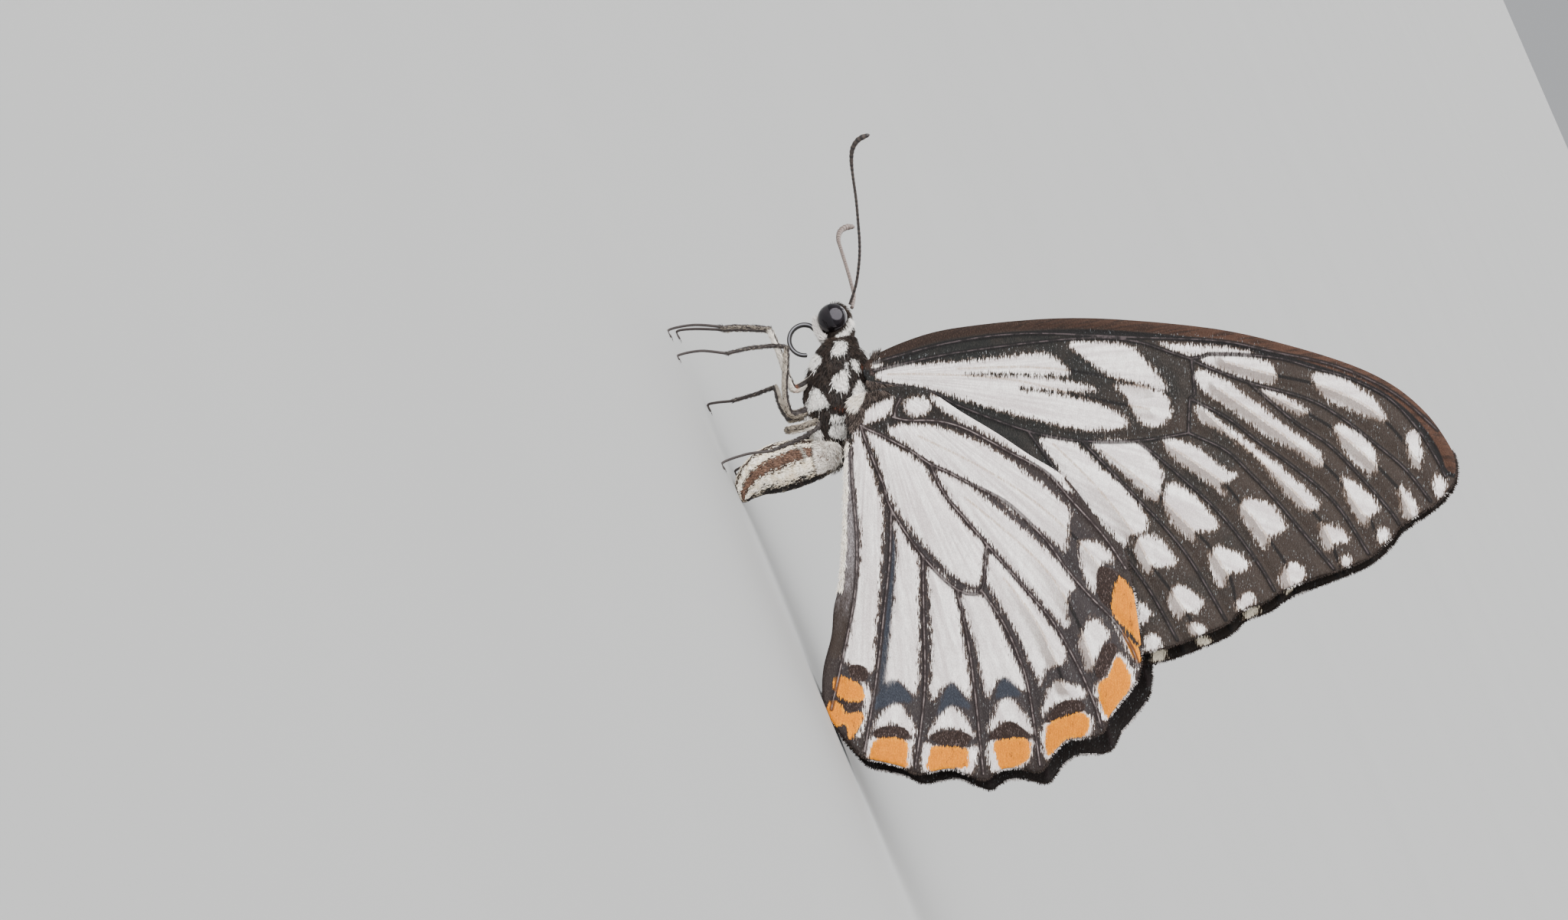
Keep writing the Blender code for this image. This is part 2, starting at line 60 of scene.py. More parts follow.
# Floor, camera and light
FLOOR_SIZE = 40.0
FLOOR_DROP = 0.02 * MM
FLOOR_PAINT = ((0.3, 0.3, 0.296), (0.325, 0.325, 0.32))
PICTURE = (2048, 1201)
CAMERA_AWAY = 1.5
NEAREST_SEEN = 0.01
AIM_OFF = -2.5 * MM
SENSOR = 36.0
SKY = (0.95, 0.97, 1.0, 1)
SKY_STRENGTH = 0.5
KEY_FRONT, KEY_RIGHT, KEY_TOP = 0.682, 0.38, 0.62
KEY_STRENGTH, KEY_SIZE = 8.6, radians(90)
BACK_WAY = (-0.2, 0.8, 0.9)
BACK_STRENGTH, BACK_SIZE = 2.4, radians(60)

# Wings, as in the solids, but with a thinner membrane and finer veins
FOREWING_OFF = 1.9 * MM
TIP_CLOSING = 1.4 * MM
CAMBER = 0.5 * MM
HINDWING_OUTSIDE = 1.1 * MM
HINDWING_CLOSING = 1.5 * MM
FOREWING_REAR = ((1150, 508), (1490, 843))
CLOSING_FROM, CLOSING_OVER = 45, 240
HINGE = (1138, 490)
WING_REACH = 760
WING_STEP = 0.21 * MM
EDGE_STEP = 4.0
LINE_STEP = 3.0
MARK_STEP = 6.0
FAR_STEP = 12.0
MARK_REACH = 45
OUTSIDE = -3.0
FARTHEST = 60.0
ROW_SHARE = 0.866
EDGE_ROOM, LINE_ROOM = 0.6, 0.45
LEE_SIDE = 1.0
MEMBRANE_HALF = 0.08 * MM
VEIN_RISE = 0.12 * MM
VEIN_HALF = 0.2 * MM
THIN_RIM, RIM_THICKNESS = 0.3, 0.25
PLEAT = 0.08 * MM
PLEAT_REACH = 1.2
SPREAD_ARC = 25.0
FRONT_POINTS = 12
NO_FRONT = 3.0
FRINGE_STEP = 0.4
FRINGE_LOOK = 7.0
FRINGE_LENGTH = (0.1 * MM, 0.32 * MM)
FRINGE_WIDTH = (0.035 * MM, 0.06 * MM)
FRINGE_SPREAD = MEMBRANE_HALF * 0.4
FOREWING_BARE, HINDWING_BARE = 420, 60
FOREWING_FUZZ_HAIRS, HINDWING_FUZZ_HAIRS = 1300, 2300
FUZZ_LENGTH, FUZZ_WIDTH, FUZZ_LIFT = (0.3, 0.8), 0.045, 14

FOREWING = [
    (1134, 470), (1206, 438), (1283, 424), (1385, 416), (1480, 419), (1592, 431), (1676, 450),
    (1760, 476), (1817, 504), (1859, 540), (1886, 578), (1896, 604), (1892, 630), (1875, 652),
    (1858, 664), (1845, 673), (1822, 688), (1808, 706), (1780, 728), (1744, 743), (1702, 757),
    (1666, 772), (1649, 784), (1615, 797), (1600, 811), (1571, 825), (1537, 838), (1514, 845),
    (1487, 850), (1462, 838), (1400, 778), (1310, 686), (1225, 592), (1160, 522), (1134, 500),
]
FOREWING_VEINS = {
    "costa": [(1142, 474), (1240, 448), (1340, 436), (1480, 441), (1592, 446), (1660, 460),
              (1733, 476), (1789, 498), (1831, 524), (1873, 562)],
    "cell_front": [(1142, 484), (1250, 461), (1400, 443), (1480, 446), (1555, 469), (1578, 463),
                   (1660, 467), (1713, 481), (1761, 495), (1811, 521), (1845, 557), (1867, 591),
                   (1883, 622)],
    "apex_fork": [(1555, 469), (1567, 476), (1629, 500), (1704, 521), (1749, 546), (1789, 577),
                  (1831, 613), (1863, 654)],
    "apex_branch": [(1629, 500), (1688, 551), (1733, 582), (1777, 627), (1811, 667), (1822, 684)],
    "cell_end": [(1555, 469), (1559, 515), (1553, 521), (1551, 566)],
    "rear_1": [(1553, 521), (1601, 546), (1637, 574), (1676, 602), (1721, 638), (1749, 669),
               (1782, 722)],
    "rear_2": [(1551, 566), (1598, 588), (1631, 619), (1665, 655), (1693, 689), (1737, 742)],
    "cell_rear": [(1145, 500), (1217, 512), (1252, 530), (1342, 563), (1412, 576), (1485, 576),
                  (1551, 566)],
    "rear_3": [(1485, 576), (1536, 619), (1592, 672), (1637, 731), (1660, 770)],
    "rear_4": [(1412, 576), (1480, 647), (1522, 692), (1556, 737), (1597, 808)],
    "rear_5": [(1342, 563), (1372, 605), (1396, 642), (1462, 720), (1500, 772), (1534, 834)],
    "rear_edge": [(1150, 508), (1250, 590), (1350, 690), (1430, 775), (1490, 843)],
}
FOREWING_CREASES = {
    "rear_5": [(1375, 580), (1430, 635), (1478, 695), (1500, 735), (1530, 775), (1550, 805),
               (1558, 822)],
    "rear_4": [(1440, 590), (1500, 638), (1560, 696), (1578, 714), (1593, 738), (1605, 758),
               (1612, 796)],
    "rear_3": [(1530, 585), (1570, 612), (1598, 633), (1618, 658), (1636, 678), (1656, 707),
               (1674, 734), (1680, 761)],
    "rear_2": [(1575, 540), (1612, 574), (1649, 607), (1685, 640), (1705, 662), (1723, 683),
               (1736, 712), (1745, 738)],
    "rear_1": [(1590, 508), (1660, 558), (1730, 611), (1754, 640), (1774, 669), (1785, 678),
               (1795, 707)],
    "apex_branch": [(1650, 512), (1700, 538), (1745, 565), (1790, 605), (1823, 640), (1837, 669)],
    "apex_fork": [(1600, 473), (1660, 490), (1725, 505), (1780, 530), (1815, 560), (1846, 600)],
    "cell": [(1160, 489), (1240, 490), (1330, 498), (1420, 520), (1500, 535)],
    "cell_mid": [(1250, 482), (1340, 480), (1420, 488), (1500, 508)],
}
HINDWING_CREASES = {
    "fifth": [(1310, 755), (1345, 800), (1372, 850), (1388, 895)],
    "sixth": [(1260, 650), (1320, 700), (1370, 750), (1405, 810), (1430, 880)],
    "seventh": [(1200, 570), (1280, 610), (1350, 655), (1410, 710), (1445, 755)],
}
HINDWING = [
    (1113, 519), (1150, 508), (1185, 505), (1215, 512), (1255, 538), (1300, 565), (1342, 593),
    (1393, 627), (1440, 690), (1465, 716), (1474, 750), (1482, 800), (1487, 843), (1486, 868),
    (1480, 888), (1461, 913), (1446, 932), (1437, 952), (1420, 960), (1394, 963), (1376, 977),
    (1357, 1003), (1336, 1001), (1314, 1000), (1298, 1006), (1284, 1015), (1264, 1009),
    (1240, 1001), (1215, 1005), (1195, 1007), (1178, 999), (1155, 993), (1127, 986),
    (1108, 968), (1091, 947), (1079, 927), (1074, 903), (1076, 870), (1086, 830), (1089, 795),
    (1096, 763), (1100, 719), (1102, 676), (1103, 640), (1104, 606), (1106, 575), (1107, 550),
    (1107, 533),
]
HINDWING_VEINS = {
    "cell_rear": [(1125, 558), (1130, 574), (1141, 602), (1154, 634), (1164, 665), (1205, 726),
                  (1249, 769), (1281, 770), (1287, 717), (1290, 713)],
    "front": [(1124, 556), (1136, 562), (1150, 568), (1167, 577), (1191, 590), (1216, 607),
              (1239, 617), (1263, 630), (1294, 645), (1320, 661), (1364, 704), (1391, 742),
              (1421, 777), (1453, 810), (1476, 846), (1483, 868)],
    "shoulder": [(1176, 521), (1170, 534), (1169, 543)],
    "branch_1": [(1216, 609), (1233, 645), (1262, 680), (1290, 713), (1342, 773), (1374, 812),
                 (1405, 867), (1426, 915), (1435, 946)],
    "branch_2": [(1281, 770), (1309, 812), (1329, 856), (1342, 900), (1356, 996)],
    "branch_3": [(1249, 769), (1262, 828), (1272, 900), (1283, 1008)],
    "branch_4": [(1205, 726), (1206, 795), (1207, 900), (1195, 1000)],
    "branch_5": [(1164, 665), (1162, 730), (1155, 795), (1145, 882), (1129, 980)],
    "inner_edge": [(1112, 585), (1113, 620), (1116, 660), (1119, 700), (1119, 740), (1116, 780),
                   (1109, 820), (1096, 880), (1086, 925)],
    "costa": [(1166, 545), (1184, 549), (1223, 550), (1255, 558), (1286, 573), (1318, 591),
              (1344, 604), (1370, 621), (1397, 652), (1440, 700), (1468, 742)],
}

# White marks of the forewing, from the front edge back
FOREWING_WHITE = {
    "cell_streak": [
        (1145, 489), (1168, 477), (1201, 476), (1258, 473), (1324, 466), (1367, 464), (1393, 482),
        (1388, 491), (1329, 488), (1262, 488), (1290, 492), (1360, 494), (1411, 503), (1431, 510),
        (1398, 511), (1331, 507), (1333, 510), (1385, 517), (1436, 529), (1469, 548), (1465, 559),
        (1411, 561), (1354, 548), (1283, 529), (1206, 506), (1155, 498)],
    "cell_front_spot": [
        (1397, 450), (1426, 447), (1472, 452), (1492, 469), (1510, 489), (1522, 510), (1492, 502),
        (1454, 492), (1421, 471)],
    "cell_rear_spot": [
        (1456, 505), (1492, 506), (1523, 519), (1527, 543), (1510, 558), (1487, 548), (1469, 517)],
    "base_spot": [(1139, 477), (1149, 471), (1152, 477), (1143, 483)],
    "rear_5_in": [
        (1360, 573), (1402, 579), (1428, 603), (1465, 636), (1491, 668), (1495, 692), (1471, 701),
        (1467, 714), (1434, 677), (1402, 640), (1382, 612)],
    "rear_5_out": [
        (1484, 703), (1512, 703), (1532, 729), (1530, 738), (1502, 740), (1498, 749), (1484, 731)],
    "rear_5_spot": [
        (1531, 768), (1541, 764), (1569, 785), (1558, 798), (1543, 797), (1538, 807), (1524, 788)],
    "rear_5_edge": [(1550, 814), (1562, 814), (1572, 822), (1569, 829), (1554, 828)],
    "rear_edge_dash": [(1484, 788), (1491, 788), (1500, 801), (1489, 814)],
    "rear_edge_dot": [(1494, 831), (1506, 827), (1513, 837), (1511, 846), (1493, 848)],
    "rear_4_in": [
        (1427, 578), (1486, 579), (1510, 608), (1517, 621), (1511, 647), (1504, 654), (1469, 621),
        (1443, 597)],
    "rear_4_out": [
        (1527, 631), (1556, 647), (1586, 681), (1584, 692), (1558, 694), (1557, 707), (1534, 688),
        (1519, 658)],
    "rear_4_spot": [
        (1588, 714), (1613, 722), (1627, 735), (1627, 742), (1609, 748), (1601, 747), (1596, 764),
        (1585, 761), (1577, 728)],
    "rear_4_edge": [(1615, 781), (1627, 772), (1635, 779), (1633, 787), (1613, 796)],
    "rear_3_in": [
        (1519, 574), (1553, 580), (1592, 610), (1612, 622), (1592, 633), (1599, 647), (1567, 624),
        (1530, 596)],
    "rear_3_out": [
        (1626, 652), (1654, 658), (1676, 686), (1674, 692), (1654, 702), (1648, 717), (1626, 686),
        (1617, 667)],
    "rear_3_edge": [
        (1672, 744), (1686, 733), (1698, 742), (1699, 756), (1691, 761), (1675, 769), (1667, 758)],
    "rear_2_in": [
        (1563, 528), (1592, 551), (1634, 582), (1676, 616), (1713, 650), (1720, 661), (1696, 664),
        (1665, 630), (1643, 602), (1601, 568), (1566, 548)],
    "rear_2_out": [
        (1722, 685), (1744, 689), (1757, 701), (1755, 708), (1737, 710), (1730, 720), (1721, 703)],
    "rear_2_edge": [(1747, 729), (1755, 725), (1762, 730), (1760, 738), (1749, 740)],
    "rear_1_in": [
        (1563, 484), (1598, 498), (1637, 526), (1676, 557), (1718, 588), (1723, 599), (1718, 610),
        (1688, 588), (1648, 566), (1606, 535), (1567, 507)],
    "rear_1_out": [
        (1752, 624), (1776, 639), (1794, 657), (1793, 669), (1782, 676), (1780, 687), (1767, 676),
        (1754, 645)],
    "rear_1_edge": [(1795, 691), (1803, 688), (1810, 699), (1803, 707), (1796, 710)],
    "apex_branch_in": [
        (1644, 509), (1662, 512), (1699, 532), (1704, 540), (1690, 540), (1651, 518)],
    "apex_branch_mid": [
        (1741, 561), (1755, 557), (1786, 580), (1794, 610), (1786, 619), (1758, 596)],
    "apex_branch_out": [
        (1823, 640), (1833, 640), (1847, 667), (1840, 681), (1829, 672)],
    "apex_fork_in": [
        (1570, 467), (1592, 464), (1654, 473), (1662, 500), (1620, 493), (1578, 476)],
    "apex_fork_mid": [
        (1713, 490), (1752, 495), (1786, 518), (1803, 540), (1803, 551), (1766, 537), (1730, 521)],
    "apex_fork_out": [(1836, 567), (1848, 566), (1852, 602), (1845, 613), (1834, 585)],
    "apex_fork_edge": [(1870, 620), (1876, 622), (1884, 633), (1881, 644), (1874, 650), (1867, 634)],
    "front_streak": [
        (1515, 449), (1564, 452), (1617, 457), (1631, 463), (1587, 462), (1550, 463), (1522, 453)],
}

FOREWING_BROWN = {"hinge": [(1136, 482), (1141, 481), (1144, 487), (1140, 492), (1136, 490)]}
# Where longer hair grows on the wings' outer faces
FOREWING_FUZZ = {
    "root": [
        (1134, 496), (1142, 498), (1165, 503), (1176, 508), (1164, 516), (1140, 520), (1132, 512)],
    "front": [(1136, 469), (1142, 465), (1149, 463), (1149, 467), (1142, 471)],
}
HINDWING_FUZZ = {
    "root": [
        (1108, 522), (1125, 512), (1152, 509), (1160, 514), (1140, 521), (1129, 533), (1124, 552),
        (1110, 560)],
    "inner": [
        (1103, 570), (1108, 572), (1107, 640), (1105, 715), (1100, 768), (1093, 772), (1097, 715),
        (1101, 640)],
}

# White marks of the hindwing, from the inner edge forward
HINDWING_WHITE = {
    "inner": [
        (1119, 562), (1134, 600), (1145, 637), (1153, 669), (1151, 721), (1147, 784), (1142, 838),
        (1141, 873), (1131, 875), (1112, 867), (1101, 858), (1108, 838), (1118, 773), (1125, 708),
        (1122, 676), (1117, 643), (1113, 600)],
    "second": [
        (1169, 680), (1188, 713), (1199, 732), (1199, 784), (1199, 868), (1195, 906), (1183, 896),
        (1172, 888), (1164, 892), (1154, 893), (1160, 840), (1166, 784), (1171, 721)],
    "third": [
        (1213, 741), (1240, 763), (1251, 795), (1257, 840), (1263, 868), (1266, 909), (1254, 899),
        (1242, 890), (1230, 898), (1216, 910), (1217, 849), (1215, 795)],
    "fourth": [
        (1256, 773), (1285, 780), (1303, 812), (1314, 840), (1334, 882), (1336, 900), (1321, 892),
        (1308, 883), (1298, 893), (1287, 907), (1275, 845), (1266, 817)],
    "fifth": [
        (1291, 725), (1307, 737), (1333, 767), (1364, 808), (1385, 838), (1390, 856), (1385, 864),
        (1364, 873), (1357, 891), (1346, 869), (1327, 825), (1303, 784), (1289, 756)],
    "cell": [
        (1133, 563), (1161, 579), (1201, 604), (1218, 630), (1255, 680), (1285, 713), (1281, 741),
        (1279, 760), (1272, 765), (1246, 752), (1216, 721), (1184, 682), (1162, 648), (1147, 600)],
    "sixth": [
        (1224, 616), (1255, 628), (1303, 665), (1348, 703), (1380, 733), (1401, 764), (1393, 777),
        (1391, 818), (1374, 801), (1330, 751), (1290, 706), (1246, 656)],
    "seventh": [
        (1161, 563), (1191, 554), (1240, 563), (1300, 590), (1365, 638), (1393, 664), (1395, 681),
        (1390, 718), (1376, 707), (1333, 675), (1283, 637), (1214, 602), (1189, 584)],
    "front_line": [
        (1217, 516), (1252, 530), (1288, 551), (1318, 569), (1345, 587), (1372, 607), (1386, 622),
        (1399, 644), (1384, 633), (1370, 621), (1343, 601), (1312, 581), (1286, 566), (1250, 547),
        (1226, 531)],
    "base_spot": [
        (1128, 548), (1132, 538), (1143, 529), (1156, 521), (1165, 522), (1165, 535), (1159, 542),
        (1146, 548), (1129, 556)],
    "shoulder_patch": [(1110, 519), (1116, 511), (1131, 511), (1129, 521), (1119, 536), (1110, 532)],
    "base_bar": [(1181, 529), (1190, 520), (1206, 521), (1216, 531), (1210, 540), (1189, 541)],
    "second_arch": [
        (1139, 951), (1158, 924), (1172, 917), (1182, 927), (1196, 955), (1189, 959), (1172, 945),
        (1158, 945)],
    "third_arch": [
        (1211, 959), (1231, 928), (1242, 921), (1254, 930), (1272, 958), (1256, 952), (1240, 949),
        (1225, 951)],
    "fourth_arch": [
        (1290, 952), (1304, 917), (1314, 909), (1327, 919), (1346, 947), (1346, 956), (1321, 942),
        (1307, 942)],
    "fifth_arch": [
        (1359, 933), (1369, 899), (1380, 888), (1408, 896), (1415, 904), (1411, 910), (1380, 916)],
    "sixth_arch": [
        (1408, 837), (1421, 808), (1430, 807), (1447, 829), (1439, 837), (1428, 863), (1418, 874),
        (1411, 853)],
    "seventh_arch": [
        (1409, 710), (1430, 708), (1452, 727), (1450, 733), (1439, 734), (1428, 772), (1415, 751)],
    "tail_corner": [
        (1126, 890), (1136, 899), (1137, 916), (1126, 952), (1120, 960), (1129, 928), (1127, 902)],
    "front_rim": [(1450, 805), (1465, 829), (1484, 859), (1485, 870), (1467, 842)],
    "second_edge": [
        (1131, 966), (1137, 962), (1147, 962), (1183, 965), (1192, 967), (1190, 985), (1184, 1001),
        (1150, 993), (1133, 986)],
    "third_edge": [
        (1206, 969), (1217, 972), (1262, 976), (1276, 972), (1273, 990), (1266, 1009), (1240, 1001),
        (1206, 1004)],
    "fourth_edge": [
        (1288, 969), (1298, 965), (1341, 962), (1349, 966), (1343, 985), (1336, 996), (1303, 1008),
        (1295, 1004), (1288, 985)],
    "fifth_edge": [
        (1358, 950), (1364, 943), (1397, 929), (1411, 926), (1424, 938), (1418, 959), (1391, 964),
        (1367, 989), (1360, 975)],
    "sixth_edge": [
        (1428, 893), (1433, 888), (1444, 880), (1453, 852), (1462, 855), (1476, 873), (1477, 893),
        (1457, 921), (1446, 941), (1439, 937), (1429, 912)],
}
HINDWING_ORANGE = {
    "tail_upper": [
        (1087, 896), (1096, 882), (1116, 889), (1126, 896), (1129, 907), (1127, 914), (1102, 913)],
    "tail_lower": [
        (1078, 927), (1085, 914), (1096, 917), (1105, 930), (1124, 928), (1129, 935), (1110, 965),
        (1105, 944), (1091, 947)],
    "second": [
        (1137, 975), (1147, 963), (1183, 966), (1185, 991), (1181, 1001), (1150, 993), (1135, 988)],
    "third": [
        (1217, 973), (1254, 975), (1263, 978), (1262, 1000), (1240, 1001), (1212, 1004),
        (1212, 984)],
    "fourth": [
        (1298, 966), (1341, 963), (1343, 983), (1336, 994), (1307, 1003), (1299, 985)],
    "fifth": [
        (1366, 945), (1397, 931), (1411, 928), (1421, 940), (1414, 959), (1391, 963), (1369, 984),
        (1363, 975)],
    "sixth": [
        (1433, 890), (1444, 882), (1456, 855), (1470, 871), (1474, 895), (1456, 919), (1447, 938),
        (1433, 916)],
    "seventh": [
        (1456, 758), (1465, 755), (1480, 781), (1487, 824), (1489, 842), (1473, 824), (1450, 798)],
    "front_corner": [(1460, 816), (1470, 830), (1485, 848), (1485, 866), (1474, 852)],
}
HINDWING_BROWN = {
    "tail_bar": [
        (1085, 905), (1094, 902), (1104, 911), (1119, 909), (1127, 917), (1120, 927), (1106, 928),
        (1096, 917), (1087, 913)],
    "tail_top": [(1108, 871), (1120, 867), (1132, 872), (1133, 886), (1122, 889), (1112, 884)],
    "second": [(1140, 955), (1153, 948), (1181, 949), (1188, 961), (1167, 965), (1147, 963)],
    "third": [(1214, 963), (1225, 954), (1256, 954), (1268, 963), (1254, 975), (1234, 973)],
    "fourth": [(1289, 961), (1310, 942), (1324, 942), (1345, 959), (1341, 963), (1301, 963)],
    "fifth": [(1363, 941), (1377, 920), (1391, 913), (1411, 914), (1413, 926), (1383, 938)],
    "sixth": [(1428, 872), (1439, 842), (1454, 840), (1456, 850), (1443, 874), (1433, 886)],
    "seventh": [(1434, 740), (1465, 753), (1454, 772), (1450, 796), (1432, 777)],
}
HINDWING_BLUE = {
    "second_vein": [
        (1163, 690), (1169, 721), (1164, 806), (1155, 899), (1148, 899), (1156, 795), (1160, 741)],
    "second_notch": [(1141, 924), (1153, 893), (1171, 888), (1192, 913), (1172, 917)],
    "third_notch": [(1223, 933), (1240, 891), (1256, 907), (1268, 924), (1242, 920)],
    "fourth_notch": [(1299, 910), (1310, 883), (1332, 905), (1315, 909)],
}
HINDWING_FOLD = {
    "inner": [
        (1103, 582), (1108, 580), (1113, 600), (1117, 643), (1122, 687), (1120, 773),
        (1104, 834), (1097, 856), (1084, 856), (1088, 800), (1099, 721), (1104, 643)],
}


def at(across, down, y=0.0):
    """Places on the model for grid places and distances y from the middle plane, as rows."""
    right = (np.asarray(across, float) - FLOOR_POINT[0]) * GRID
    below = (np.asarray(down, float) - FLOOR_POINT[1]) * GRID
    level = right * sin(FLOOR_SLOPE) + below * cos(FLOOR_SLOPE)
    height = right * cos(FLOOR_SLOPE) - below * sin(FLOOR_SLOPE)
    y = y + np.zeros_like(level)
    x = (level - y * sin(VIEW_TURN)) / cos(VIEW_TURN)
    z = (height + (x * sin(VIEW_TURN) - y * cos(VIEW_TURN)) * sin(RISE)) / cos(RISE)
    return np.stack([x - CENTRE_X, y, z], axis=-1)


def drawn(points):
    """The grid place where the side drawing shows each point, taken on its left side."""
    x, y, z = points[:, 0] + CENTRE_X, -np.abs(points[:, 1]), points[:, 2]
    level = x * cos(VIEW_TURN) + y * sin(VIEW_TURN)
    height = z * cos(RISE) - (x * sin(VIEW_TURN) - y * cos(VIEW_TURN)) * sin(RISE)
    right = level * sin(FLOOR_SLOPE) + height * cos(FLOOR_SLOPE)
    below = level * cos(FLOOR_SLOPE) - height * sin(FLOOR_SLOPE)
    return np.stack([right / GRID + FLOOR_POINT[0], below / GRID + FLOOR_POINT[1]], axis=-1)


def rounded(points, step, closed=True):
    """The smooth line through points, with a point about every step."""
    points = [np.array(p, float) for p in points]
    count = len(points)
    line = []
    for i in range(count if closed else count - 1):
        if closed:
            a, b, c, d = (points[(i + k - 1) % count] for k in range(4))
        else:
            a, b, c, d = (points[min(max(i + k - 1, 0), count - 1)] for k in range(4))
        parts = max(1, round(float(np.linalg.norm(c - b)) / step))
        for k in range(parts):
            t = k / parts
            line.append(0.5 * (2 * b + (c - a) * t + (2 * a - 5 * b + 4 * c - d) * t ** 2
                               + (3 * b - a - 3 * c + d) * t ** 3))
    if not closed:
        line.append(points[-1])
    return np.array(line)


def away_from(line, places, closed=False):
    """How far each grid place is from a line of points, in mm, and whether it lies inside."""
    ends = np.roll(line, -1, axis=0) if closed else line[1:]
    best = np.full(len(places), FARTHEST / GRID * MM)
    odd = np.zeros(len(places), bool)
    px, py = places[:, 0], places[:, 1]
    for a, b in zip(line, ends):
        way = b - a
        size = max(float(way @ way), 1e-9)
        t = np.clip(((px - a[0]) * way[0] + (py - a[1]) * way[1]) / size, 0, 1)
        best = np.minimum(best, np.hypot(px - a[0] - t * way[0], py - a[1] - t * way[1]))
        if (a[1] > b[1]) or (a[1] < b[1]):
            over = (a[1] > py) != (b[1] > py)
            odd ^= over & (px < (b[0] - a[0]) * (py - a[1]) / (b[1] - a[1]) + a[0])
    return best * GRID / MM, odd


def depth_in(marks, places):
    """How far each grid place lies inside the nearest of the marks, in mm, negative outside."""
    best = np.full(len(places), OUTSIDE)
    for outline in marks.values():
        line = rounded(outline, MARK_STEP)
        low, high = line.min(axis=0) - MARK_REACH, line.max(axis=0) + MARK_REACH
        near = np.all((places > low) & (places < high), axis=1)
        if not near.any():
            continue
        away, odd = away_from(line, places[near], closed=True)
        best[near] = np.maximum(best[near], np.where(odd, away, -away))
    return best


def wing_off(places):
    """How far a forewing's middle sheet stands from the middle plane."""
    share = (places[:, 0] - HINGE[0]) / WING_REACH
    return FOREWING_OFF - TIP_CLOSING * share + CAMBER * np.sin(pi * share)


def hindwing_off(places):
    """The same for a hindwing: outside the forewing, and closing behind its rear edge."""
    start, end = (np.array(p, float) for p in FOREWING_REAR)
    edge = (end - start) / np.linalg.norm(end - start)
    behind = (places - start) @ (-edge[1], edge[0])
    share = np.clip((behind - CLOSING_FROM) / CLOSING_OVER, 0, 1)
    return wing_off(places) + HINDWING_OUTSIDE - HINDWING_CLOSING * share ** 2 * (3 - 2 * share)


def link(name, mesh):
    """A new object in the scene."""
    piece = bpy.data.objects.new(name, mesh)
    bpy.context.scene.collection.objects.link(piece)
    return piece


def mesh_of(name, points, faces):
    """A piece from its points and faces, with its faces shaded smooth."""
    mesh = bpy.data.meshes.new(name)
    mesh.from_pydata(points.tolist() if hasattr(points, "tolist") else points, [], faces)
    mesh.polygons.foreach_set("use_smooth", [True] * len(mesh.polygons))
    mesh.update()
    return link(name, mesh)


def keep(piece, **values):
    """Stores named values at the points of a piece for its material."""
    for name, numbers in values.items():
        numbers = np.asarray(numbers, np.float32)
        kind, key = ("FLOAT", "value") if numbers.ndim == 1 else ("FLOAT_VECTOR", "vector")
        layer = piece.data.attributes.new(name, kind, "POINT")
        layer.data.foreach_set(key, numbers.ravel())


def unwrap(piece, spots):
    """Gives a piece the flat layout OFBake from one place for each face corner."""
    layer = piece.data.uv_layers.new(name="OFBake")
    layer.data.foreach_set("uv", np.asarray(spots, np.float32).ravel())


def read(collection, key, width=1, kind=float):
    """Numbers of a mesh's points, corners or triangles, in rows of a width."""
    out = np.empty(len(collection) * width, kind)
    collection.foreach_get(key, out)
    return out if width == 1 else out.reshape(-1, width)


def corner_points(piece):
    """The point under each face corner of a piece."""
    return read(piece.data.loops, "vertex_index", kind=int)


def numbers_of(piece, name, width=1):
    """The values stored at the points of a piece, as rows."""
    return read(piece.data.attributes[name].data, "value" if width == 1 else "vector", width)


def points_of(piece):
    """The places of a piece's points."""
    return read(piece.data.vertices, "co", 3)


def normals_of(piece):
    """The way that the skin faces at each point of a piece."""
    return read(piece.data.vertex_normals, "vector", 3)


def choose(*pieces):
    """Selects the given pieces and no other, the first one active."""
    bpy.ops.object.select_all(action="DESELECT")
    for piece in pieces:
        piece.select_set(True)
    if pieces:
        bpy.context.view_layer.objects.active = pieces[0]


def done(piece, finish, slot, *nodes):
    """Puts the finish on a piece, and says what it rides on and stands for."""
    piece.data.materials.clear()
    piece.data.materials.append(finish)
    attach(piece, "root")
    if nodes:
        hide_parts(*nodes)
    return piece


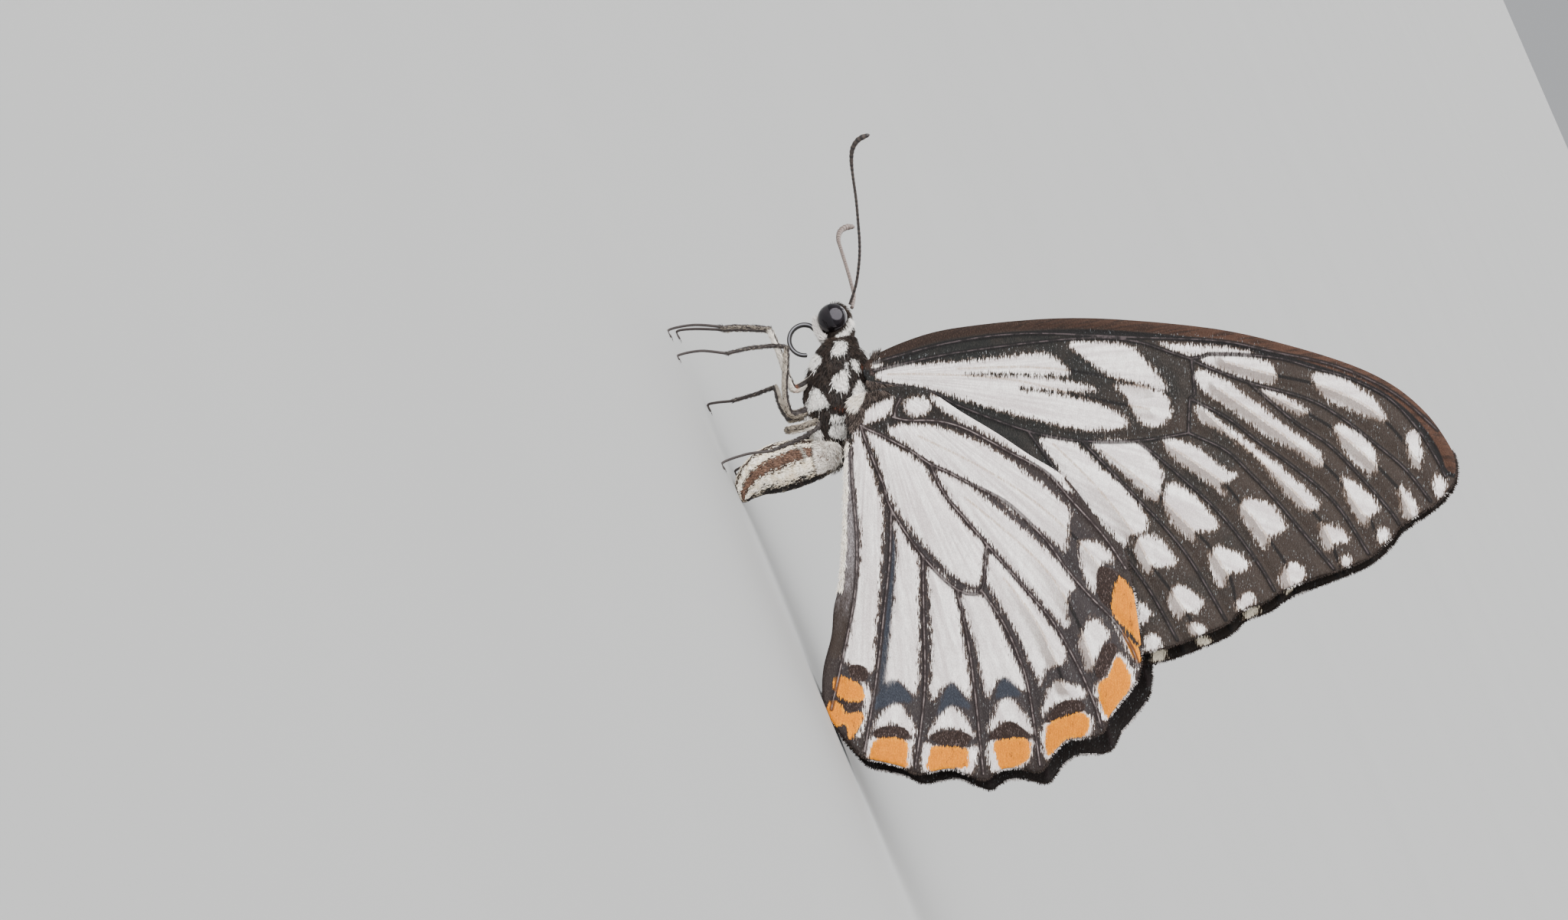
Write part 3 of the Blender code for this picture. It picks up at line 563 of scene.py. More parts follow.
class Finish:
    """A material under construction: each method adds a node and returns what it gives."""

    def __init__(self, name, roughness=0.6, **inputs):
        self.material = bpy.data.materials.new(name)
        self.material.use_nodes = True
        self.nodes = self.material.node_tree.nodes
        self.links = self.material.node_tree.links
        self.shader = self.nodes["Principled BSDF"]
        self.shader.inputs["Roughness"].default_value = roughness
        for key, value in inputs.items():
            self.shader.inputs[key.replace("_", " ")].default_value = value

    def join(self, value, socket):
        """Leads a value, or another node's output, into a socket."""
        if isinstance(value, bpy.types.NodeSocket):
            self.links.new(value, socket)
        else:
            socket.default_value = value

    def value(self, name):
        """A number stored at the piece's points."""
        node = self.nodes.new("ShaderNodeAttribute")
        node.attribute_name = name
        return node.outputs["Fac"]

    def place(self, name=None, scale=(1, 1, 1), turn=(0, 0, 0)):
        """Object coordinates, or a stored vector, scaled and turned."""
        if name:
            node = self.nodes.new("ShaderNodeAttribute")
            node.attribute_name = name
            source = node.outputs["Vector"]
        else:
            source = self.nodes.new("ShaderNodeTexCoord").outputs["Object"]
        mapping = self.nodes.new("ShaderNodeMapping")
        mapping.inputs["Scale"].default_value = scale
        mapping.inputs["Rotation"].default_value = turn
        self.links.new(source, mapping.inputs["Vector"])
        return mapping.outputs["Vector"]

    def noise(self, place, scale=1.0, detail=3.0, rough=0.6):
        """A cloudy pattern between 0 and 1."""
        node = self.nodes.new("ShaderNodeTexNoise")
        self.links.new(place, node.inputs["Vector"])
        node.inputs["Scale"].default_value = scale
        node.inputs["Detail"].default_value = detail
        node.inputs["Roughness"].default_value = rough
        return node.outputs["Fac"]

    def cells(self, place, scale=1.0):
        """A pattern of cells: how far each place is from its cell's middle."""
        node = self.nodes.new("ShaderNodeTexVoronoi")
        self.links.new(place, node.inputs["Vector"])
        node.inputs["Scale"].default_value = scale
        return node.outputs["Distance"]

    def sum(self, *parts):
        """The weighted sum of (value, weight) pairs and plain numbers."""
        total = None
        for part in parts:
            value, weight = part if isinstance(part, tuple) else (part, 1.0)
            node = self.nodes.new("ShaderNodeMath")
            node.operation = "MULTIPLY_ADD"
            self.join(value, node.inputs[0])
            node.inputs[1].default_value = weight
            self.join(total if total is not None else 0.0, node.inputs[2])
            total = node.outputs[0]
        return total

    def math(self, operation, one, two=0.0):
        """One of the math node's operations on one or two values."""
        node = self.nodes.new("ShaderNodeMath")
        node.operation = operation
        self.join(one, node.inputs[0])
        self.join(two, node.inputs[1])
        return node.outputs[0]

    def both(self, one, two):
        """The share where one and the other hold."""
        return self.math("MULTIPLY", one, two)

    def step(self, value, low, high, first=0.0, last=1.0):
        """A soft step from first to last while the value goes from low to high."""
        node = self.nodes.new("ShaderNodeMapRange")
        node.interpolation_type = "SMOOTHSTEP"
        self.join(value, node.inputs["Value"])
        for key, number in (("From Min", low), ("From Max", high), ("To Min", first),
                            ("To Max", last)):
            node.inputs[key].default_value = number
        return node.outputs["Result"]

    def mix(self, share, one, two):
        """Colour one turning to colour two as the share goes from 0 to 1."""
        node = self.nodes.new("ShaderNodeMix")
        node.data_type = "RGBA"
        node.clamp_factor = True
        self.join(share, node.inputs[0])
        self.join(one if not isinstance(one, tuple) else (*one, 1), node.inputs[6])
        self.join(two if not isinstance(two, tuple) else (*two, 1), node.inputs[7])
        return node.outputs[2]

    def darker(self, colour, share):
        """A colour times a plain value."""
        node = self.nodes.new("ShaderNodeVectorMath")
        node.operation = "SCALE"
        self.join(colour, node.inputs[0])
        self.join(share, node.inputs["Scale"])
        return node.outputs[0]

    def colour(self, value):
        """The finish's own colour."""
        self.join(value, self.shader.inputs["Base Color"])

    def relief(self, height, depth):
        """Bumps of the given height pattern, depth metres from low to high."""
        node = self.nodes.new("ShaderNodeBump")
        node.inputs["Distance"].default_value = depth
        node.inputs["Strength"].default_value = 1.0
        self.join(height, node.inputs["Height"])
        self.links.new(node.outputs["Normal"], self.shader.inputs["Normal"])


# Colours of the wings
SOOT = (0.008, 0.0085, 0.008)
UMBER = (0.027, 0.0185, 0.0145)
ASH = (0.056, 0.047, 0.041)
BLACK = (0.006, 0.005, 0.005)
FADED = (0.058, 0.027, 0.017)
HIND_BASE = (0.011, 0.009, 0.008)
HIND_BAND = (0.025, 0.02, 0.021)
HIND_MARGIN = (0.0185, 0.0125, 0.0115)
CHALK = (0.95, 0.905, 0.87)
# A greyer white: random tone in blots and the fringe, and painted shade of the folds in the
# lengthwise streaks
CHALK_GREY_AND_PAINTED_FOLD_SHADE = (0.58, 0.51, 0.5)
CREAM = (0.83, 0.74, 0.58)
BEIGE = (0.42, 0.31, 0.23)
ORANGE = (0.68, 0.212, 0.0005)
ORANGE_PALE = (0.78, 0.3, 0.003)
ORANGE_DEEP = (0.5, 0.13, 0.001)
NIGHT_BLUE = (0.013, 0.016, 0.023)
STEEL_BLUE = (0.032, 0.038, 0.052)
LILAC_GREY = (0.33, 0.3, 0.31)
STRIP_GREY = (0.085, 0.072, 0.072)
FRONT_BROWN = (0.02, 0.011, 0.008)
FRONT_STREAK = (0.009, 0.006, 0.005)
FRONT_PALE = (0.09, 0.055, 0.038)
SPECK = (0.36, 0.4, 0.42)
# Painted shade on the white beside each crease
LEE_PAINTED_SHADE = (0.19, 0.15, 0.13)
MARK_RIM = (0.11, 0.07, 0.045)
NOTCH_DARK, NOTCH_BROWN = (0.012, 0.007, 0.006), (0.03, 0.017, 0.013)
GLINT = (0.22, 0.17, 0.16)
VEIN_BROWN = (0.014, 0.009, 0.009)
# Painted highlight along the veins' ridges, forewing and hindwing
VEIN_PAINTED_HIGHLIGHT = ((0.11, 0.085, 0.088), (0.24, 0.195, 0.19))
FRINGE_DARK = ((0.014, 0.01, 0.009), (0.06, 0.042, 0.034))
FUZZ_BROWN = ((0.01, 0.007, 0.006), (0.13, 0.1, 0.085))

# Colours of body, feelers, mouth and legs; a pair is mixed by a pattern
DARK_HAIR = ((0.008, 0.006, 0.005), (0.035, 0.022, 0.016))
BROWN_HAIR = (0.075, 0.05, 0.036)
WHITE_HAIR = ((0.9, 0.85, 0.79), (0.98, 0.96, 0.93))
PLATE_RED = (0.12, 0.034, 0.015)
ABDOMEN_CREAM = ((0.76, 0.64, 0.47), (0.95, 0.88, 0.76))
STRIPE_BROWN = ((0.03, 0.014, 0.009), (0.21, 0.115, 0.075))
SEPIA = (0.03, 0.017, 0.012)
BACK_BLACK = (0.012, 0.009, 0.008)
# Painted shadow across the abdomen
PAINTED_SHADOW_GREY = (0.3, 0.28, 0.24)
KNOB_PALE = ((0.72, 0.65, 0.57), (0.95, 0.9, 0.83))
KNOB_SPOT = (0.16, 0.1, 0.07)
EYE_BLACK = ((0.003, 0.0025, 0.003), (0.01, 0.008, 0.009))
# The second colour of each pair, for the right feeler, is lighter as painted light
ANTENNA_PALE = ((0.05, 0.036, 0.03), (0.2, 0.155, 0.135))
ANTENNA_DARK = ((0.01, 0.008, 0.008), (0.08, 0.058, 0.05))
PALP_GREY = (0.4, 0.36, 0.33)
# Pale painted highlight along the groove, then the tongue's black
TONGUE_COLOURS = ((0.22, 0.22, 0.24), (0.01, 0.008, 0.008))
LEG_DARK = ((0.012, 0.009, 0.009), (0.05, 0.038, 0.034))
LEG_LIGHT = ((0.33, 0.28, 0.22), (0.8, 0.74, 0.66))
JOINT_RED = (0.3, 0.085, 0.025)

# Height of the bumps
WING_RELIEF = 0.02 * MM
BODY_RELIEF = 0.01 * MM
EYE_RELIEF = 0.0015 * MM
ANTENNA_RELIEF = 0.008 * MM
TONGUE_RELIEF = 0.006 * MM
SCALE_LEAN = radians(8)


def wing_patterns(f):
    """The patterns and stored values that the wings' finish is mixed from."""
    lean = (0, 0, SCALE_LEAN)
    p = SimpleNamespace()
    p.barbs = f.noise(f.place("flow", (8.5, 1.1, 1.0), lean), 1.0, 3.0, 0.65)
    p.grain = f.noise(f.place("flow", (17.0, 4.0, 1.0), lean), 1.0, 2.0, 0.6)
    p.blots = f.noise(f.place("flow", (2.4, 0.9, 1.0), lean), 1.0, 3.0, 0.6)
    p.cloud = f.noise(f.place("flow", (0.25, 0.18, 1.0)), 1.0, 4.0, 0.6)
    p.breaks = f.noise(f.place("flow", (1.3, 1.3, 1.0)), 1.0, 2.0)
    p.pleats = f.noise(f.place("rays", (0.12, 1.4, 1.0)), 1.0, 3.0, 0.55)
    p.lengthwise = f.noise(f.place("rays", (0.4, 4.0, 1.0)), 1.0, 3.0, 0.6)
    p.rows = f.cells(f.place("flow", (11.0, 7.0, 1.0), lean), 1.0)
    for key in ("vein", "crease", "edge", "front", "tip", "hind", "upper", "lee", "white", "brown",
                "orange", "blue", "fold"):
        setattr(p, key, f.value(key))
    p.under = f.sum((p.upper, -1.0), 1.0)
    return p


def front_band(f, p):
    """The brown band along the forewing's front edge."""
    band = f.mix(f.step(p.tip, 0.1, 0.8), FRONT_BROWN, FADED)
    band = f.mix(f.step(p.lengthwise, 0.45, 0.62, 0.0, 0.6), band, FRONT_STREAK)
    return f.mix(f.step(p.grain, 0.5, 0.7, 0.0, 0.4), band, FRONT_PALE)


def wing_ground(f, p):
    """The dark ground with its hairs, front band and pale specks, with painted shadow along the
    creases and painted shade on the upper faces.
    """
    ground = f.mix(f.step(f.sum((p.cloud, 0.8), (p.tip, 0.7)), 0.55, 0.95), SOOT, UMBER)
    middle = f.both(f.step(p.tip, 0.14, 0.34), f.step(p.edge, 0.5, 2.2))
    hind_ground = f.mix(f.step(p.tip, 0.1, 0.3), HIND_BASE, HIND_MARGIN)
    ground = f.mix(p.hind, ground, f.mix(middle, hind_ground, HIND_BAND))
    hairs = f.step(f.sum((p.grain, 0.75), (p.barbs, 0.35)), 0.48, 0.75)
    ground = f.mix(f.both(hairs, f.step(p.tip, 0.1, 0.6, 0.3, 0.65)), ground, ASH)
    in_band = f.step(f.sum((p.front, 1.0), (p.grain, 0.4), (p.tip, -0.25)), 1.3, 0.8)
    ground = f.mix(in_band, ground, front_band(f, p))
    dark_line = f.math("ABSOLUTE", f.sum((p.front, 1.0), -1.15))
    ground = f.mix(f.step(dark_line, 0.28, 0.1), ground, BLACK)
    specks = f.step(f.sum((p.barbs, 0.6), (p.grain, 0.6)), 0.7, 0.77)
    ground = f.mix(f.both(specks, f.step(p.white, -1.4, -0.3, 0.0, 0.8)), ground, SPECK)
    # Painted shadow along each crease of the dark ground
    crease_shadow = f.step(f.sum((p.crease, 1.0), (p.grain, 0.15)), 0.3, 0.14, 0.0, 0.9)
    ground = f.mix(crease_shadow, ground, BLACK)
    # The upper faces' ground darkened as painted shade
    return f.mix(p.under, f.darker(ground, 0.45), ground)


def white_share(f, p):
    """A value above 0 inside the feathered white marks, fewer at the upper faces' rims."""
    rim = f.step(p.edge, 2.6, 1.6)
    far_rim = f.both(p.upper, f.both(p.hind, rim))
    far_tip = f.both(p.upper, f.both(f.step(p.tip, 0.785, 0.81), rim))
    return f.sum((p.white, 1.0), (p.barbs, 1.9), (p.grain, 0.55), (p.upper, -0.12),
                 (far_rim, -2.5), (far_tip, -3.0), -1.25)


def white_scales(f, p):
    """Chalky streaks partly painted as fold shade, beige flecks, and painted shade on one side of
    each crease.
    """
    # Lengthwise streaks along the rays: painted shade of the wing's folds
    white = f.mix(f.step(p.pleats, 0.3, 0.7), CHALK_GREY_AND_PAINTED_FOLD_SHADE, CHALK)
    white = f.mix(f.step(p.blots, 0.35, 0.62, 0.45, 0.0), white, CHALK_GREY_AND_PAINTED_FOLD_SHADE)
    flecks = f.step(f.sum((p.grain, 0.7), (p.blots, 0.4)), 0.36, 0.3, 0.0, 0.6)
    white = f.mix(flecks, white, BEIGE)
    # Painted shade on one side of each crease, where the fold would shadow the white
    beside = f.step(f.sum((p.crease, 1.0), (p.barbs, 0.8)), 1.6, 1.0)
    lee = f.both(f.step(p.lee, -0.4, 0.5), beside)
    white = f.mix(f.both(lee, f.step(p.tip, 0.35, 0.6, 0.0, 0.85)), white, LEE_PAINTED_SHADE)
    # A painted shadow line along each crease
    crease_shadow_line = f.both(f.step(p.crease, 0.16, 0.04, 0.0, 0.8), f.step(p.barbs, 0.3, 0.6))
    white = f.mix(crease_shadow_line, white, BEIGE)
    return f.mix(p.under, CREAM, white)


def brown_notches(f, p, surface):
    """The brown notches between the hindwing's white marks and its orange ones."""
    share = f.sum((p.brown, 1.0), (p.grain, 0.3), (p.barbs, 0.3), -0.3)
    brown = f.mix(f.step(p.grain, 0.35, 0.65), NOTCH_DARK, NOTCH_BROWN)
    glints = f.step(f.sum((p.barbs, 0.6), (p.grain, 0.6)), 0.66, 0.74, 0.0, 0.5)
    brown = f.mix(glints, brown, GLINT)
    return f.mix(f.both(p.under, f.step(share, -0.05, 0.05)), surface, brown)


def orange_marks(f, p, surface):
    """The orange marks, paler at their outlines, with deep and faded flecks."""
    share = f.sum((p.orange, 1.0), (p.grain, 0.4), (p.barbs, 0.9), -0.66)
    inner = f.step(f.sum((p.orange, 1.0), (p.blots, 0.5)), 0.1, 0.6)
    hue = f.mix(inner, ORANGE_PALE, ORANGE)
    deep = f.step(f.sum((p.barbs, 0.6), (p.grain, 0.4)), 0.42, 0.62, 0.6, 0.0)
    hue = f.mix(deep, hue, ORANGE_DEEP)
    hue = f.mix(f.step(f.sum((p.grain, 0.5), (p.blots, 0.6)), 0.63, 0.7, 0.0, 0.7), hue, FADED)
    return f.mix(f.both(p.under, f.step(share, -0.05, 0.05)), surface, hue)


def blue_notches(f, p, surface):
    """The dark blue scales beside the hindwing's veins and notches."""
    share = f.sum((p.blue, 1.0), (p.barbs, 0.9), (p.grain, 0.4), -0.68)
    blue = f.mix(f.step(f.sum((p.rows, 0.5), (p.grain, 0.8)), 0.45, 0.75), NIGHT_BLUE, STEEL_BLUE)
    return f.mix(f.both(p.under, f.step(share, -0.2, 0.15, 0.0, 0.85)), surface, blue)


def inner_strip(f, p, surface):
    """The grey strip along the hindwing's inner edge, brown toward its end."""
    share = f.sum((p.fold, 1.0), (p.barbs, 0.4), -0.2)
    grey = f.mix(f.step(f.sum((p.grain, 0.6), (p.barbs, 0.4)), 0.4, 0.64), STRIP_GREY, LILAC_GREY)
    grey = f.mix(f.step(f.sum((p.tip, 1.0), (p.blots, 0.1)), 0.33, 0.5), grey, UMBER)
    return f.mix(f.step(share, -0.1, 0.15, 0.0, 0.8), surface, grey)


def vein_lines(f, p, surface):
    """Dark sides on every vein, and a broken pale line along its ridge, a painted highlight."""
    sides = f.step(p.vein, 0.27, 0.13, 0.0, 0.85)
    surface = f.mix(sides, surface, f.mix(p.hind, BLACK, VEIN_BROWN))
    # The pale line: a painted highlight on the vein's ridge
    broken = f.step(p.breaks, 0.4, 0.62, 0.15, 1.0)
    line = f.both(f.step(p.vein, 0.075, 0.03), f.both(p.under, broken))
    line = f.both(line, f.step(p.hind, 0.0, 1.0, 0.5, 0.65))
    return f.mix(line, surface, f.mix(p.hind, *VEIN_PAINTED_HIGHLIGHT))


def wing_finish():
    """Scaled membrane: dark ground, feathered white streaks, orange at the hindwing's edge.

    The upper faces, which look at each other, are black, their ground darkened further as painted
    shade, with fewer, creamier marks.
    """
    f = Finish("wing_scales", roughness=0.7, Sheen_Weight=0.05, Sheen_Roughness=0.4,
               Specular_IOR_Level=0.15)
    p = wing_patterns(f)
    white = white_share(f, p)
    ground = f.mix(f.step(white, -0.28, 0.0, 0.0, 0.6), wing_ground(f, p), MARK_RIM)
    surface = f.mix(f.step(white, -0.08, 0.08), ground, white_scales(f, p))
    for layer in (brown_notches, orange_marks, blue_notches, inner_strip, vein_lines):
        surface = layer(f, p, surface)
    f.colour(f.darker(surface, f.step(p.rows, 0.1, 0.75, 1.06, 0.82)))
    f.relief(f.sum((p.rows, -1.0), (p.barbs, 0.8)), WING_RELIEF)
    return f.material


def wing_places(outline, lines):
    """Grid places that fill a wing outline closely, and the triangles between them.

    The triangles have edges along the given lines.
    """
    edge = rounded(outline, EDGE_STEP)
    step = WING_STEP / GRID
    low, high = edge.min(axis=0), edge.max(axis=0)
    across = np.arange(low[0], high[0], step)
    down = np.arange(low[1], high[1], step * ROW_SHARE)
    grid = np.array([(x + (j % 2) * step / 2, y) for j, y in enumerate(down) for x in across])

    def inside(places):
        away, odd = away_from(edge, places, closed=True)
        return places[odd & (away > EDGE_ROOM * step * GRID / MM)]

    inner = inside(grid)
    chains = [inside(rounded(line, LINE_STEP, closed=False)) for line in lines]
    for chain in chains:
        inner = inner[away_from(chain, inner)[0] > LINE_ROOM * step * GRID / MM]
    points = np.concatenate([edge, inner, *chains])
    ring = [(i, (i + 1) % len(edge)) for i in range(len(edge))]
    start = len(edge) + len(inner)
    for chain in chains:
        ring += [(i, i + 1) for i in range(start, start + len(chain) - 1)]
        start += len(chain)
    flat, _, faces, *_ = delaunay_2d_cdt([Vector(p) for p in points], ring, [], 1, 1e-4)
    return np.array([tuple(p) for p in flat]), faces, edge


def nearest(lines, places):
    """How far each grid place is from the nearest of some lines, in mm."""
    return np.min([away_from(rounded(line, FAR_STEP, closed=False), places)[0]
                   for line in lines.values()], axis=0)


def wing_marks(places, edge, veins, creases, marks):
    """Values at the wing's grid places that its finish reads, distances in mm."""
    toward = places - np.array(HINGE)
    reach = np.hypot(toward[:, 0], toward[:, 1]) * GRID / MM
    turn = np.arctan2(toward[:, 1], toward[:, 0]) * SPREAD_ARC
    rim_away = away_from(edge, places, closed=True)[0]
    values = {name: depth_in(outlines, places) for name, outlines in marks.items()}
    values["vein"] = nearest(veins, places)
    values["crease"] = nearest(creases, places)
    # Which side of the nearest crease a place lies on, for the painted shade there
    lee = values["crease"] - nearest(creases, places + (LEE_SIDE, -LEE_SIDE))
    values["lee"] = lee / (LEE_SIDE * GRID / MM)
    values["edge"] = rim_away
    values["flow"] = np.stack([*(toward.T * GRID / MM), np.zeros_like(reach)], axis=1)
    values["rays"] = np.stack([reach, turn, np.zeros_like(reach)], axis=1)
    values["tip"] = np.clip(reach / (WING_REACH * GRID / MM), 0, 1)
    way = toward / (np.linalg.norm(toward, axis=1)[:, None] + 1e-9)
    values["ahead"] = at(*(places + way).T) - at(*places.T)
    return values


def both_faces(faces, count):
    """The triangles of a sheet's outer and inner face, and the rim that joins them."""
    used, out = {}, []
    for a, b, c in faces:
        out.append((a, b, c))
        out.append((c + count, b + count, a + count))
        for one, two in ((a, b), (b, c), (c, a)):
            used[(one, two)] = used.get((one, two), 0) + 1
            used[(two, one)] = used.get((two, one), 0) - 1
    for (one, two), times in used.items():
        if times == 1:
            out.append((two, one, one + count))
            out.append((two, one + count, two + count))
    return out


def turn_faces_out(piece):
    """Makes all faces of a closed piece look outward."""
    bm = bmesh.new()
    bm.from_mesh(piece.data)
    bmesh.ops.recalc_face_normals(bm, faces=bm.faces)
    bm.to_mesh(piece.data)
    bm.free()


def wing(name, side, sheet, values, off, finish):
    """One wing: both faces of a thin membrane over the same places, thicker at the veins."""
    places, faces, _ = sheet
    count = len(places)
    half = MEMBRANE_HALF + VEIN_RISE * np.exp(-(values["vein"] * MM / VEIN_HALF) ** 2)
    half *= np.clip(values["edge"] / THIN_RIM, RIM_THICKNESS, 1.0)
    middle = at(places[:, 0], places[:, 1], -off(places))
    middle[:, 1] += PLEAT * (np.cos(np.clip(values["vein"], 0, PLEAT_REACH) / PLEAT_REACH * pi)
                             - 0.5)
    outer, inner = middle.copy(), middle.copy()
    outer[:, 1] -= half
    inner[:, 1] += half
    points = np.concatenate([outer, inner])
    points[:, 1] *= -side
    points[:, 2] = np.maximum(points[:, 2], 0.0)
    piece = mesh_of(f"{name}_scaled", points, both_faces(faces, count))
    turn_faces_out(piece)
    for key, numbers in values.items():
        keep(piece, **{key: np.concatenate([numbers, numbers])})
    keep(piece, upper=np.repeat([0.0, 1.0], count))
    spot = flat_layout(places, places)
    unwrap(piece, np.concatenate([spot, spot + (0.5, 0.0)])[corner_points(piece)])
    return done(piece, finish, "wing_scales", name)


def flat_layout(places, sheet):
    """Where grid places lie on the flat layout of a wing's outer face."""
    low, high = sheet.min(axis=0), sheet.max(axis=0)
    return (places - low) / (high - low).max() * 0.48 + 0.01


def fringe(name, side, outline, sheet, marks, off, bare, finish, rng):
    """Fine scales standing out from a wing's edge, pale where a pale mark comes near it.

    bare is how far from the hinge, on the grid, the edge has none.
    """
    edge = rounded(outline, FRINGE_STEP)
    along = np.roll(edge, -1, axis=0) - np.roll(edge, 1, axis=0)
    out = np.stack([-along[:, 1], along[:, 0]], axis=1)
    out /= np.linalg.norm(out, axis=1)[:, None] + 1e-9
    area = np.sum(edge[:, 0] * np.roll(edge[:, 1], -1) - np.roll(edge[:, 0], -1) * edge[:, 1])
    out *= -np.sign(area)
    behind = out[:, 0] * 0.25 + out[:, 1] > -0.2
    far = np.hypot(*(edge - HINGE).T) > bare
    edge, out = edge[far & behind], out[far & behind]
    count = len(edge)
    pale = np.max([depth_in(mark, edge - out * FRINGE_LOOK) for mark in marks], axis=0)
    spread = rng.normal(0, FRINGE_SPREAD, count)
    root = at(*(edge - out).T, -off(edge) + spread)
    way = at(*(edge + out).T) - at(*(edge - out).T)
    way /= np.linalg.norm(way, axis=1)[:, None]
    way += rng.normal(0, 0.14, way.shape)
    normal = np.tile((0.0, -1.0, 0.0), (count, 1))
    for rows in (root, way, normal):
        rows[:, 1] *= -side
    length = rng.uniform(*FRINGE_LENGTH, count)
    piece = blades(name, root, way, normal, length, rng.normal(0, 0.1, count),
                   rng.uniform(*FRINGE_WIDTH, count), flat_layout(edge, sheet[0]),
                   {"pale": pale, "strand": rng.random(count)})
    return done(piece, finish, "wing_scales")


def fringe_finish():
    """Fringe scales: dark brown, or whitish beside the pale marks."""
    f = Finish("wing_fringe", roughness=0.7, Specular_IOR_Level=0.2)
    strand = f.value("strand")
    pale = f.sum((f.value("pale"), 1.0), (strand, 0.6), -0.75)
    soft = f.noise(f.place(), 4000.0, 2.0)
    dark = f.mix(strand, *FRINGE_DARK)
    f.colour(f.mix(f.step(pale, -0.08, 0.08), dark, f.mix(soft, CHALK_GREY_AND_PAINTED_FOLD_SHADE, CHALK)))
    return f.material


def fuzz_finish():
    """Grey-brown hair at the wings' roots and along the hindwing's inner edge."""
    f = Finish("wing_fuzz", roughness=0.6, Specular_IOR_Level=0.2)
    soft = f.noise(f.place(), 2500.0, 2.0)
    strand = f.sum((f.value("strand"), 0.7), (soft, 0.3))
    brown = f.mix(f.step(strand, 0.2, 0.9), *FUZZ_BROWN)
    pale = f.math("MAXIMUM", f.value("white"), f.sum((f.value("fold"), 1.0), 0.35))
    f.colour(f.mix(f.step(pale, -0.08, 0.08), brown, f.mix(strand, CREAM, CHALK)))
    return f.material


def wing_plan(kind, outline, veins, creases, **traits):
    """What both wings of a kind share: the sheet of places and the values stored there."""
    sheet = wing_places(outline, [*veins.values(), *creases.values()])
    plan = SimpleNamespace(kind=kind, outline=outline, sheet=sheet, **traits)
    plan.values = wing_marks(sheet[0], sheet[2], veins, creases, plan.marks)
    return plan


def wing_plans():
    """The plans of the forewing and of the hindwing."""
    fore = wing_plan("forewing", FOREWING, FOREWING_VEINS, FOREWING_CREASES, off=wing_off,
                     marks={"white": FOREWING_WHITE, "orange": {}, "brown": FOREWING_BROWN,
                            "blue": {}, "fold": {}},
                     pale=[FOREWING_WHITE], bare=FOREWING_BARE, hair=FOREWING_FUZZ,
                     hairs=FOREWING_FUZZ_HAIRS)
    hind = wing_plan("hindwing", HINDWING, HINDWING_VEINS, HINDWING_CREASES, off=hindwing_off,
                     marks={"white": HINDWING_WHITE, "orange": HINDWING_ORANGE,
                            "brown": HINDWING_BROWN, "blue": HINDWING_BLUE, "fold": HINDWING_FOLD},
                     pale=[HINDWING_WHITE, HINDWING_ORANGE], bare=HINDWING_BARE,
                     hair=HINDWING_FUZZ, hairs=HINDWING_FUZZ_HAIRS)
    front_edge = rounded(FOREWING[:FRONT_POINTS], FAR_STEP, closed=False)
    fore.values["front"] = away_from(front_edge, fore.sheet[0])[0]
    hind.values["front"] = np.full(len(hind.sheet[0]), NO_FRONT)
    fore.values["hind"] = np.zeros(len(fore.sheet[0]))
    hind.values["hind"] = np.ones(len(hind.sheet[0]))
    return fore, hind


def outer_within(marks):
    """Density for a coat that grows on a wing's outer face inside some marks."""
    def density(found, places):
        return (found["upper"] < 0.5) * (depth_in(marks, places) > 0) * 1.0
    return density


def make_wings(rng):
    """Four wings, their marks drawn from the same outlines on the left and the right."""
    finish, fringes, fuzz = wing_finish(), fringe_finish(), fuzz_finish()
    plans = wing_plans()
    for side_name, side in SIDES:
        for plan in plans:
            name = f"{plan.kind}_{side_name}"
            piece = wing(name, side, plan.sheet, plan.values, plan.off, finish)
            fringe(name + "_fringe", side, plan.outline, plan.sheet, plan.pale, plan.off,
                   plan.bare, fringes, rng)
            coat(name + "_fuzz", piece, outer_within(plan.hair), plan.hairs, FUZZ_LENGTH,
                 FUZZ_WIDTH, FUZZ_LIFT, fuzz, rng, "wing_scales")


def make_floor():
    """The wide pale floor."""
    choose()
    bpy.ops.mesh.primitive_plane_add(size=FLOOR_SIZE, location=(0, 0, -FLOOR_DROP))
    floor = bpy.context.object
    floor.name = "floor"
    finish = Finish("floor_paint", roughness=0.85)
    finish.colour(finish.mix(finish.noise(finish.place(), 6.0, 2.0), *FLOOR_PAINT))
    floor.data.materials.append(finish.material)


def view_ways():
    """The side drawing's directions on the model: into it, to its right and to its top."""
    turn, rise, slope = VIEW_TURN, RISE, FLOOR_SLOPE
    ahead = Vector((-sin(turn) * cos(rise), cos(turn) * cos(rise), -sin(rise)))
    level = Vector((cos(turn), sin(turn), 0))
    up = Vector((-sin(turn) * sin(rise), cos(turn) * sin(rise), cos(rise)))
    return ahead, level * sin(slope) + up * cos(slope), up * sin(slope) - level * cos(slope)


def make_camera(ahead, right, top):
    """The camera at the side drawing's view."""
    data = bpy.data.cameras.new("side_camera")
    data.sensor_width = SENSOR
    data.lens = SENSOR * CAMERA_AWAY / (PICTURE[0] * GRID)
    data.clip_start = NEAREST_SEEN
    camera = link("side_camera", data)
    aim = Vector(at(PICTURE[0] / 2, PICTURE[1] / 2, AIM_OFF))
    spin = Matrix((right, top, -ahead)).transposed().to_4x4()
    camera.matrix_world = Matrix.Translation(aim - ahead * CAMERA_AWAY) @ spin
    bpy.context.scene.camera = camera


def make_light(name, way, strength, size):
    """A soft sun that shines from the given way."""
    light = bpy.data.lights.new(name, "SUN")
    light.energy = strength
    light.angle = size
    link(name, light).rotation_euler = way.to_track_quat("Z", "Y").to_euler()


